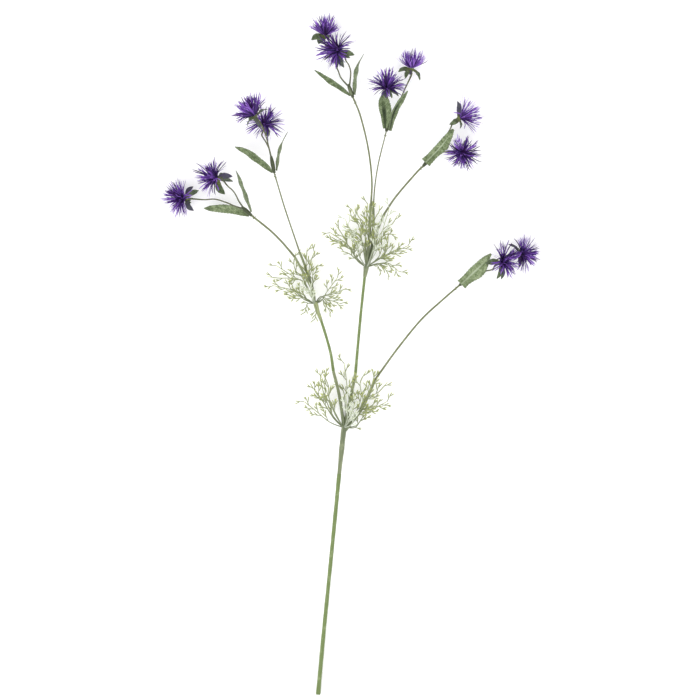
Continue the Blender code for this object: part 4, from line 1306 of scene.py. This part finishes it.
# %% Cut the leaves
LEAF_ROWS = 64
TOOTH_COUNT = 14
TOOTH_DEPTH = 0.1
TOOTHED_FROM = 0.04
LEAF_UNEVEN = 0.03
LEAF_WAVES = 0.5
# 1 shows a pale midrib. -1 paints shade into the valley of the fold.
PALE_RIBS_AND_FOLD_SHADES = {"4a": -1, "4b": -1, "5a": 1, "6a": 1}
TONES = {"2a": -0.2, "3a": -0.7, "4a": -0.1, "5b": -0.5, "6a": 0.3, "6b": 0.6}


def in_pairs(pieces):
    """The two leaves or heads of each sprig, with the number of the sprig and their letter."""
    for number, sprig in enumerate(SPRIGS, 1):
        for letter, piece in zip("ab", getattr(sprig, pieces)):
            yield number, letter, piece


def leaf_sheet(leaf, seed):
    """The fine sheet of a leaf, with its teeth."""
    rng = random.Random(seed)
    points = smooth(leaf.route, LEAF_ROWS)
    normals = [Quaternion(way, math.radians(leaf.roll)) @ UP for way in directions(points)]
    starts = [rng.random(), rng.random()]
    widths = []
    for row in range(LEAF_ROWS):
        share = row / (LEAF_ROWS - 1)
        sides = []
        for outline, start in zip((leaf.left, leaf.right), starts):
            tooth = 1 - (share * TOOTH_COUNT + start) % 1
            uneven = LEAF_UNEVEN * math.sin(11 * share + 6 * start)
            cut = 1 + uneven - TOOTH_DEPTH * tooth * (share > TOOTHED_FROM)
            sides.append(blend(outline, share) * cut)
        widths.append(sides)
    return sheet(points, normals, widths, leaf.fold, LEAF_WAVES)


leaf_faces = 0
for number, letter, leaf in in_pairs("leaves"):
    key = f"{number}{letter}"
    cut = leaf_sheet(leaf, 10 * number + ord(letter))
    mesh = cloth_mesh([(cut, PALE_RIBS_AND_FOLD_SHADES.get(key, 0), 0, TONES.get(key, 0))], LEAF_CLOTH)
    leaf_faces += finished(f"sprig_{number}_leaf_{letter}", mesh)
print(f"{2 * len(SPRIGS)} leaves: {leaf_faces} faces")

# %% [markdown]
# ## The plan of the bracts
#
# Behind each head is a small cup with bracts that arch from its rim. A bract is a short broad leaf,
# often cut into two lobes, yellow-green at its foot, with painted violet shade where it lies under
# the strands. Some bracts lie open to the viewer and others stand on edge. So each lobe is noted
# down on its own: its tip in millimetres from the head's middle, and its width, facing and painted
# violet shade.

# %% Note down the bracts
BRACTS = {
    "1a": [((15.7, 7.5, 5), 0.6, 0.9, 0.1), ((14, 5.5, 4), 0.55, 0.8, 0),
           ((9.8, 11.7, -4), 0.6, 0.9, 0.9), ((10.5, -12.7, 3), 0.65, 0.9, 0.8),
           ((7.8, -4.8, 0), 0.45, 0.6, 0), ((7.5, -2, -6), 0.4, 0.6, 0)],
    "1b": [((17.2, 1.4, 4), 0.7, 0.9, 0.9), ((17.8, -3.5, 3), 0.55, 0.9, 0.3),
           ((9.6, -16.2, -1), 0.85, 1, 0), ((11, 5, -8), 0.5, 0.5, 0.3)],
    "2a": [((-6.2, -12.3, 0), 0.45, 0.2, 0.2), ((13.9, 4.3, 0), 0.5, 0.3, 0.3),
           ((8, -15.5, 4), 0.34, 0.4, 0.5), ((-4.7, -6.8, 2), 0.5, 0.8, 0),
           ((3.3, -7.8, 2), 0.5, 0.8, 0)],
    "2b": [((1.8, -12.4, 0), 0.5, 0.6, 0.2), ((3.9, -12.6, -4), 0.4, 0.6, 0.1),
           ((-10, 2, -9), 0.5, 0.5, 0.3), ((10, -3, -8), 0.5, 0.5, 0.3)],
    "3a": [((-13.7, -7, 2), 0.75, 1, 0), ((-6.5, -11, 7), 0.95, 1, 0), ((3.6, -7, 9), 0.55, 0.8, 0.3),
           ((8, -6, -9), 0.5, 0.5, 0)],
    "3b": [((16.5, -4.9, 3), 0.7, 1, 0), ((12.1, -7.8, 3), 0.55, 0.9, 0),
           ((-0.4, -17.4, 2), 0.6, 0.9, 0.7), ((6, -17.3, 2), 0.7, 0.9, 0.45),
           ((6, 5, -13), 0.5, 0.5, 0.3)],
    "4a": [((11.5, -8.9, 2), 0.5, 0.3, 0.5), ((-1.3, -11, 4), 0.6, 0.9, 0.8),
           ((-5.3, -9.5, 3), 0.45, 0.8, 0.4), ((4.9, -11, 1), 0.35, 0.8, 0),
           ((3.7, -7.5, 4), 0.5, 0.9, 0), ((8, -2, -11), 0.4, 0.5, 0)],
    "4b": [((-13.3, -5.8, 0), 0.62, 0.6, 0), ((-6.4, -12.6, 6), 0.55, 0.9, 0),
           ((8.5, -14.5, 3), 0.45, 0.5, 0), ((5, -8, -9), 0.4, 0.5, 0), ((-1.6, -9, 3), 0.35, 0.8, 1)],
    "5a": [((-4.6, 16.2, 0), 0.62, 0.9, 0.8), ((-12.8, -7.4, 6), 0.62, 0.9, 0),
           ((-2, -11.3, 2), 0.3, 0.6, 0), ((-3, 2, -12), 0.5, 0.5, 0)],
    "5b": [((-17, 0.5, -6), 0.3, 0.4, 0.5), ((3, 13, -9), 0.5, 0.5, 0.2), ((12, -3, -9), 0.5, 0.5, 0.2),
           ((-3, -8, -9), 0.4, 0.5, 0.2)],
    "6a": [((-16.9, -1.6, 1), 0.75, 0.9, 0.1), ((-6.1, -17, 1), 0.56, 0.9, 0),
           ((-1.5, -17.4, 1), 0.56, 0.9, 0.3), ((5, -8, -11), 0.5, 0.5, 0)],
    "6b": [((-3.3, -14.4, 0), 0.45, 0.9, 0.9), ((-13.8, 9.6, 0), 0.4, 0.5, 0.8),
           ((-8, -4, -11), 0.5, 0.5, 0), ((-5, 6, -12), 0.5, 0.5, 0)],
}
print(f"{sum(len(bracts) for bracts in BRACTS.values())} bract lobes")

# %% [markdown]
# ## Bracts
#
# A lobe is a sheet from the cup to its own tip, arched outwards over the middle of its way. How far
# it faces up decides whether its flat or its edge shows from above.

# %% Arch the bracts
BRACT_ROOT_BACK = CUP_FRONT + 1.2
BRACT_ROOT_OUT = 1.2
BRACT_ARCH = 0.16
BRACT_ROWS = 26
BRACT_HALF_WIDTHS = (1.6, 2.8, 3.5, 4.0, 4.2, 4.0, 3.2, 2.0, 0.4)
BRACT_FOLD = 12
BRACT_WAVES = 0.4


def bract_sheet(head, tip_offset, width, facing, seed):
    """One bract or lobe, from the cup's rim to its tip."""
    rng = random.Random(seed)
    way = aim(head)
    offset = Vector(tip_offset)
    out = (offset - way * offset.dot(way)).normalized()
    centre = Vector(head.centre)
    root = centre - way * BRACT_ROOT_BACK + out * BRACT_ROOT_OUT
    tip = centre + offset
    middle = root.lerp(tip, 0.5) + BRACT_ARCH * (tip - root).length * (out + way).normalized()
    points = smooth([root, middle, tip], BRACT_ROWS)
    normal = (out + way).normalized().lerp(UP, facing)
    widths = []
    for row in range(BRACT_ROWS):
        half = width * blend(BRACT_HALF_WIDTHS, row / (BRACT_ROWS - 1))
        widths.append([half * rng.uniform(0.96, 1.04), half * rng.uniform(0.96, 1.04)])
    return sheet(points, [normal] * BRACT_ROWS, widths, BRACT_FOLD, BRACT_WAVES)


widest = max(width for bracts in BRACTS.values() for _, width, _, _ in bracts)
print(f"the widest bract is {2 * widest * max(BRACT_HALF_WIDTHS):.1f} mm wide")

# %% [markdown]
# ## Calyces
#
# The cup is a profile turned about the head's axis, with every other corner raised for a fine rib.
# It could be a Screw modifier on a line, but the loop gives the cup the same cloth and facts as its
# bracts, so that a calyx is one mesh. The cup of one head is smaller than the others, and carries
# painted violet shade.

# %% Make the calyces
CUP_PROFILE = ((0.0, 1.2), (0.1, 2.5), (0.9, 2.9), (1.9, 2.5), (3.0, 1.6), (3.9, 1.2), (4.0, 0.2))
CUP_SIDES = 20
CUP_RIB = 0.07
CUP_SIZES = {"2a": 0.75}
# Painted violet shade on a cup that lies under its strands.
CUP_STRAND_SHADES = {"2a": 0.25}


def cup_sheet(head, whole):
    """The turned cup of a calyx, with fine ribs."""
    way = aim(head)
    turn = way.to_track_quat("Z", "Y")
    front = Vector(head.centre) - way * CUP_FRONT
    places = []
    uvs = []
    for step, (back, radius) in enumerate(CUP_PROFILE):
        for k in range(CUP_SIDES):
            around = 2 * math.pi * k / CUP_SIDES
            size = whole * radius * (1 + CUP_RIB * (k % 2))
            corner = turn @ Vector((size * math.cos(around), size * math.sin(around), 0))
            places.append(front - way * back + corner)
            uvs.append((0.3, 0.12 + 0.03 * step))
    faces = [tuple(range(CUP_SIDES))]
    for step in range(len(CUP_PROFILE) - 1):
        for k in range(CUP_SIDES):
            a = step * CUP_SIDES + k
            b = step * CUP_SIDES + (k + 1) % CUP_SIDES
            faces.append((a, a + CUP_SIDES, b + CUP_SIDES, b))
    faces.append(tuple(reversed(range(len(places) - CUP_SIDES, len(places)))))
    return places, faces, uvs


calyx_faces = 0
for number, letter, head in in_pairs("heads"):
    key = f"{number}{letter}"
    sheets = [(cup_sheet(head, CUP_SIZES.get(key, 1)), 0, CUP_STRAND_SHADES.get(key, 0), 0)]
    # The last number of a lobe is its painted violet shade under the strands.
    for seed, (offset, width, facing, dyed) in enumerate(BRACTS[key], 100 * number):
        sheets.append((bract_sheet(head, offset, width, facing, seed), 0, dyed, 0))
    calyx_faces += finished(f"sprig_{number}_calyx_{letter}", cloth_mesh(sheets, BRACT_CLOTH))
print(f"{2 * len(SPRIGS)} calyces: {calyx_faces} faces")

# %% [markdown]
# ## The tree that makes a head
#
# A head is a tuft of ribbons cut from dyed cloth, bound at the foot and opening like a shaving
# brush. Hair would be quick, but it can't leave Blender, so a tree makes real strips. Each ribbon
# is flat, one to four millimetres wide, and most are slit at their ends into two or three fringes.
# The tree makes one fringe and copies it. A copy's number gives its ribbon and its place in the
# ribbon. The ribbon's number gives its direction, by the golden angle, which spreads any number of
# directions evenly over a dome.

# %% Build the ribbon tree
GOLDEN_ANGLE = math.pi * (3 - math.sqrt(5))
FRINGE_POINTS = 9
RIBBON_STRAY = 0.16

w, ribbon_in = geometry_tree(
    "ribbons of a head", Centre="Vector", Turn="Vector", Ribbons="Int", Fringes="Int", Reach="Float",
    Spread="Float", Gather="Float", Foot="Float", Behind="Float", Cup="Float", Bow="Float", Width="Float",
    Splay="Float", Stray="Float", Floor="Float", Dye="Float", Seed="Int", Material="Material",
)
RIBBON_TREE = w.tree


def seed_after(step):
    """Another seed, so that each use of chance differs."""
    return ribbon_in.Seed + 100 * step


fringe = w.out("GeometryNodeCurvePrimitiveLine", {1: (0, 0, 1)})
fringe = w.out("GeometryNodeResampleCurve", {0: fringe, 2: FRINGE_POINTS})
fringe = w.stored(fringe, "along", w.out("GeometryNodeSplineParameter", output="Factor"))
amount = ribbon_in.Ribbons * ribbon_in.Fringes
copies = w.add("GeometryNodeDuplicateElements", {0: fringe, 2: amount}, domain="SPLINE")
fringes, number = (Signal(w, socket) for socket in copies.outputs)
along = w.named("along")
ribbon = w.math("FLOOR", number / ribbon_in.Fringes)
place_in = number - ribbon * ribbon_in.Fringes - (ribbon_in.Fringes - 1) / 2

share = w.math("POWER", (ribbon + 0.5) / ribbon_in.Ribbons, ribbon_in.Gather)
height = 1 - (1 - w.math("COSINE", ribbon_in.Spread)) * share
flat = w.math("SQRT", 1 - height * height)
around = ribbon * GOLDEN_ANGLE
way = w.joined(flat * w.math("COSINE", around), flat * w.math("SINE", around), height)
way = w.math("NORMALIZE", way + w.chance_vector(RIBBON_STRAY, ribbon, seed_after(1)))
print("each ribbon has its direction")

# %% [markdown]
# ## Leading the fringes
#
# A fringe follows an arc from the foot, along the head's axis, and out to its direction. Mixing foot
# with knee, knee with end, and then the two results draws that arc. Each ribbon and each fringe has
# its own length, so that the head ends in a broken outline.

# %% Lead each fringe along its ribbon
RIBBON_LENGTHS = (0.78, 1.0)
FRINGE_LENGTHS = (0.8, 1.08)


def arc(low, high):
    """A place that goes from low to high along the fringe."""
    return w.out("ShaderNodeMix", {0: along, 4: low, 5: high}, 1, data_type="VECTOR")


level = w.math("MULTIPLY", way, (1, 1, 0))
foot = level * ribbon_in.Foot + w.scaled((0, 0, -1), ribbon_in.Behind)
rise = ribbon_in.Cup * (w.math("MAXIMUM", height, 0) * 0.6 + 0.4) * ribbon_in.Reach
outward = ribbon_in.Bow * ribbon_in.Reach + ribbon_in.Foot * 1.7
knee = level * outward + w.scaled((0, 0, 1), rise)
ribbon_length = ribbon_in.Reach * w.chance(*RIBBON_LENGTHS, ribbon, seed_after(2))
end = way * (ribbon_length * w.chance(*FRINGE_LENGTHS, number, seed_after(3)))
path = arc(arc(foot, knee), arc(knee, end))
print("each fringe has its arc")

# %% [markdown]
# ## Parting the fringes
#
# Up to the slit the fringes of a ribbon lie side by side, and beyond it they part and stray. Each
# ribbon has its own roll and curl, and each fringe its own swing. Last, all of them are turned the
# way that the head faces, and none goes under the table.

# %% Part the fringes beyond the slit
RIBBON_ROLL = 0.8
RIBBON_CURL = 0.26
SLITS = (0.3, 0.5)
FULL_TURN = 6.3

side = w.math("NORMALIZE", w.math("CROSS_PRODUCT", way, (0, 0, 1)) + (0.002, 0.001, 0))
roll = w.chance(-RIBBON_ROLL, RIBBON_ROLL, ribbon, seed_after(4))
side = w.out("ShaderNodeVectorRotate", {0: side, 2: way, 3: roll}, rotation_type="AXIS_ANGLE")
slit = w.chance(*SLITS, ribbon, seed_after(5))
beyond = ((along - slit) / (1 - slit)).clamped()
opening = w.out("ShaderNodeMix", {0: (along * 2.5).clamped(), 2: 0.4, 3: 1.0})
spacing = ribbon_in.Width * opening + ribbon_in.Splay * beyond
beside = side * (spacing * place_in)
stray = w.chance_vector(1.0, number, seed_after(6)) * (w.math("POWER", beyond, 1.5) * ribbon_in.Stray)
curl = along * along * w.chance(-RIBBON_CURL, RIBBON_CURL, ribbon, seed_after(7))
curl = w.math("CROSS_PRODUCT", way, side) * (curl * ribbon_in.Reach)
swing = w.math("SINE", beyond * 4 + w.chance(0, FULL_TURN, number, seed_after(10)))
swing = side * (swing * beyond * (ribbon_in.Stray * 0.6))
place = path + beside + (stray + (curl + swing))


def aimed(vector):
    """Turns a vector from the head's own axes to the model's."""
    return w.out("ShaderNodeVectorRotate", {0: vector, 4: ribbon_in.Turn}, rotation_type="EULER_XYZ")


right, ahead, up = w.parts(aimed(place) + ribbon_in.Centre)
resting = w.joined(right, ahead, w.math("MAXIMUM", up, ribbon_in.Floor))
fringes = w.out("GeometryNodeSetPosition", {0: fringes, 2: resting})
fringes = w.out("GeometryNodeSetCurveNormal", {0: fringes, 2: aimed(side)}, mode="FREE")
fringes = w.stored(fringes, "tone", w.chance(0, 1, ribbon, seed_after(8)))
fringes = w.stored(fringes, "fringe tone", w.chance(0, 1, number, seed_after(9)))
fringes = w.stored(fringes, "dye", ribbon_in.Dye)
print("the fringes lie side by side, and part beyond the slit")

# %% [markdown]
# ## Bodies for the fringes
#
# A fringe is a flat strip that narrows to its cut tip. A flattened ring of four corners is swept
# along it, and a curve gives the width at each place. A small ball fills the heart of the head,
# where all the ribbons are bound.

# %% Give the fringes their bodies
FLATNESS = 0.24
TIP_TAPER = ((0.0, 1.0), (0.2, 0.84), (0.6, 0.8), (0.92, 0.66), (1.0, 0.2))

taper = w.add("ShaderNodeFloatCurve", {1: beyond})
taper_points = taper.mapping.curves[0].points
while len(taper_points) < len(TIP_TAPER):
    taper_points.new(0.5, 0.5)
for point, location in zip(taper_points, TIP_TAPER):
    point.location = location
taper.mapping.update()
half_width = Signal(w, taper.outputs[0]) * opening * (ribbon_in.Width * 0.6)
section = w.out("GeometryNodeCurvePrimitiveCircle", {0: 4, 4: 1.0})
section = w.out("GeometryNodeTransform", {0: section, "Scale": (1, FLATNESS, 1)})
strips = w.out("GeometryNodeCurveToMesh", {0: fringes, 1: section, 2: half_width, 3: True})
heart = w.out("GeometryNodeMeshIcoSphere", {0: ribbon_in.Foot, 1: 2})
heart_place = w.scaled((0, 0, 1), ribbon_in.Foot * 0.9 - ribbon_in.Behind)
heart = w.out("GeometryNodeTransform", {0: heart, "Translation": aimed(heart_place) + ribbon_in.Centre})
whole = w.add("GeometryNodeJoinGeometry")
for part in (heart, strips):
    w.tree.links.new(part.socket, whole.inputs[0])
w.finish(Signal(w, whole.outputs[0]), ribbon_in.Material)
print(f"the ribbon tree has {len(RIBBON_TREE.nodes)} nodes")

# %% [markdown]
# ## Dyed cloth and painted shade for the ribbons
#
# Painted shade makes the heart of a head nearly black-blue, where little light gets in. The dye
# is deep violet along the ribbons, and greyer or lilac where the cut tips fray. Some ribbons lean to
# indigo and some fringes to magenta. Whole heads are lighter or darker, partly by their dye and
# partly by painted shade. All of it follows from the facts that the tree keeps, so one material
# serves every head.

# %% Dye the ribbons
# The darkest stops paint the shade in the heart of a head. The lighter ones are the dye.
DYE_AND_SHADE_STOPS = (
    (0.0, rgb(34, 25, 56)), (0.25, rgb(66, 46, 100)), (0.5, rgb(106, 72, 152)),
    (0.75, rgb(136, 92, 190)), (1.0, rgb(164, 122, 214)),
)
INDIGO = rgb(52, 48, 116)
MAGENTA = rgb(112, 52, 148)
CLOUD = rgb(150, 96, 190)
CLOUD_SCALE = 400
FIBRE_SCALE = 1600
RIBBON_RELIEF = 0.0001

RIBBON_CLOTH, ribbon_shader = new_material("dyed ribbons", 0.8, Specular_IOR_Level=0.2)
w = Wiring(RIBBON_CLOTH.node_tree)
ribbon_tone = read(w, "tone") - 0.5
fringe_tone = read(w, "fringe tone") - 0.5
# Painted shade: darkest at the foot of each fringe and in the ball at the heart, lighter towards the tips.
depth = read(w, "along") * 0.5 + ribbon_tone * 0.35 + 0.08 + fringe_tone * 1.2
# Each head's value makes it lighter or darker, partly by its dye and partly by painted shade.
depth = (depth + (read(w, "dye") - 0.5) * 0.4).clamped()
violet = ramp(w, depth, *DYE_AND_SHADE_STOPS)
violet = mixed(w, ribbon_tone.past(0.15, 2.4) * 0.6, violet, INDIGO)
violet = mixed(w, (fringe_tone * -1).past(0.2, 2.6) * 0.5, violet, MAGENTA)
place = object_place(w)
violet = mixed(w, noise(w, place, CLOUD_SCALE) * 0.4, violet, CLOUD, "SOFT_LIGHT")
coloured(w, ribbon_shader, violet, noise(w, place, FIBRE_SCALE), RIBBON_RELIEF)
print("the ribbons are dyed")

# %% [markdown]
# ## Heads
#
# The twelve heads share one tree and one dye. A table sets them apart: how many ribbons a head has,
# how many fringes each ribbon is slit into, how they gather, cup and bow, how light its dye and
# painted shade are, and how wide a fringe is in millimetres. A few strands of one head hang back
# past its cup, so it spreads wider than its plan says.

# %% Grow the heads
FOOT_RADIUS = 2.3
FRINGE_SPLAY = 1.9
FRINGE_STRAY = 1.6
REST_HEIGHT = 0.3
# The dye column is how light a head is, partly its dye and partly painted shade.
HeadForm = namedtuple("HeadForm", "ribbons fringes gather cup bow dye width")
HEAD_FORMS = {
    "1a": HeadForm(64, 3, 1.0, 0.3, 0.08, 0.6, 1.2),
    "1b": HeadForm(40, 3, 1.0, 0.3, 0.1, 0.6, 1.15),
    "2a": HeadForm(44, 3, 1.1, 0.25, 0.25, 0.55, 1.15),
    "2b": HeadForm(60, 2, 1.0, 0.3, 0.08, 0.5, 1.1),
    "3a": HeadForm(40, 3, 1.1, 0.3, 0.35, 0.9, 1.15),
    "3b": HeadForm(44, 3, 1.0, 0.3, 0.08, 0.2, 1.2),
    "4a": HeadForm(80, 2, 1.0, 0.3, 0.15, 0.5, 0.95),
    "4b": HeadForm(46, 2, 1.0, 0.2, 0.42, 1.25, 0.95),
    "5a": HeadForm(70, 1, 1.0, 0.3, 0.2, 1.1, 1.1),
    "5b": HeadForm(150, 1, 1.0, 0.3, 0.08, 0.45, 0.9),
    "6a": HeadForm(76, 2, 1.0, 0.3, 0.08, 0.5, 1.15),
    "6b": HeadForm(76, 2, 1.0, 0.3, 0.08, 0.6, 1.15),
}
WIDER_SPREADS = {"2b": 140}

head_faces = 0
for number, letter, head in in_pairs("heads"):
    key = f"{number}{letter}"
    form = HEAD_FORMS[key]
    mesh = grown(
        bpy.data.meshes.new("seedbed"), RIBBON_TREE,
        Centre=placed(head.centre), Turn=aim(head).to_track_quat("Z", "Y").to_euler(),
        Ribbons=form.ribbons, Fringes=form.fringes, Reach=MM * head.reach,
        Spread=math.radians(WIDER_SPREADS.get(key, head.spread)), Gather=form.gather,
        Foot=MM * FOOT_RADIUS, Behind=MM * (CORE_RADIUS - CORE_LEAD), Cup=form.cup, Bow=form.bow,
        Width=MM * form.width, Splay=MM * FRINGE_SPLAY, Stray=MM * FRINGE_STRAY, Floor=MM * REST_HEIGHT,
        Dye=form.dye, Seed=10 * number + ord(letter), Material=RIBBON_CLOTH,
    )
    head_faces += finished(f"sprig_{number}_head_{letter}", mesh)
print(f"{2 * len(SPRIGS)} heads: {head_faces} faces")

# %% [markdown]
# ## Compare sizes and finish
#
# The dressed spray should fill the same box as the model. Both boxes are written down.

# %% Write the sizes and finish
new_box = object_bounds()
for axis, label in enumerate("xyz"):
    sizes = [1000 * (box[1][axis] - box[0][axis]) for box in (cad_box, new_box)]
    print(f"{label}: model {sizes[0]:.1f} mm, dressed {sizes[1]:.1f} mm")
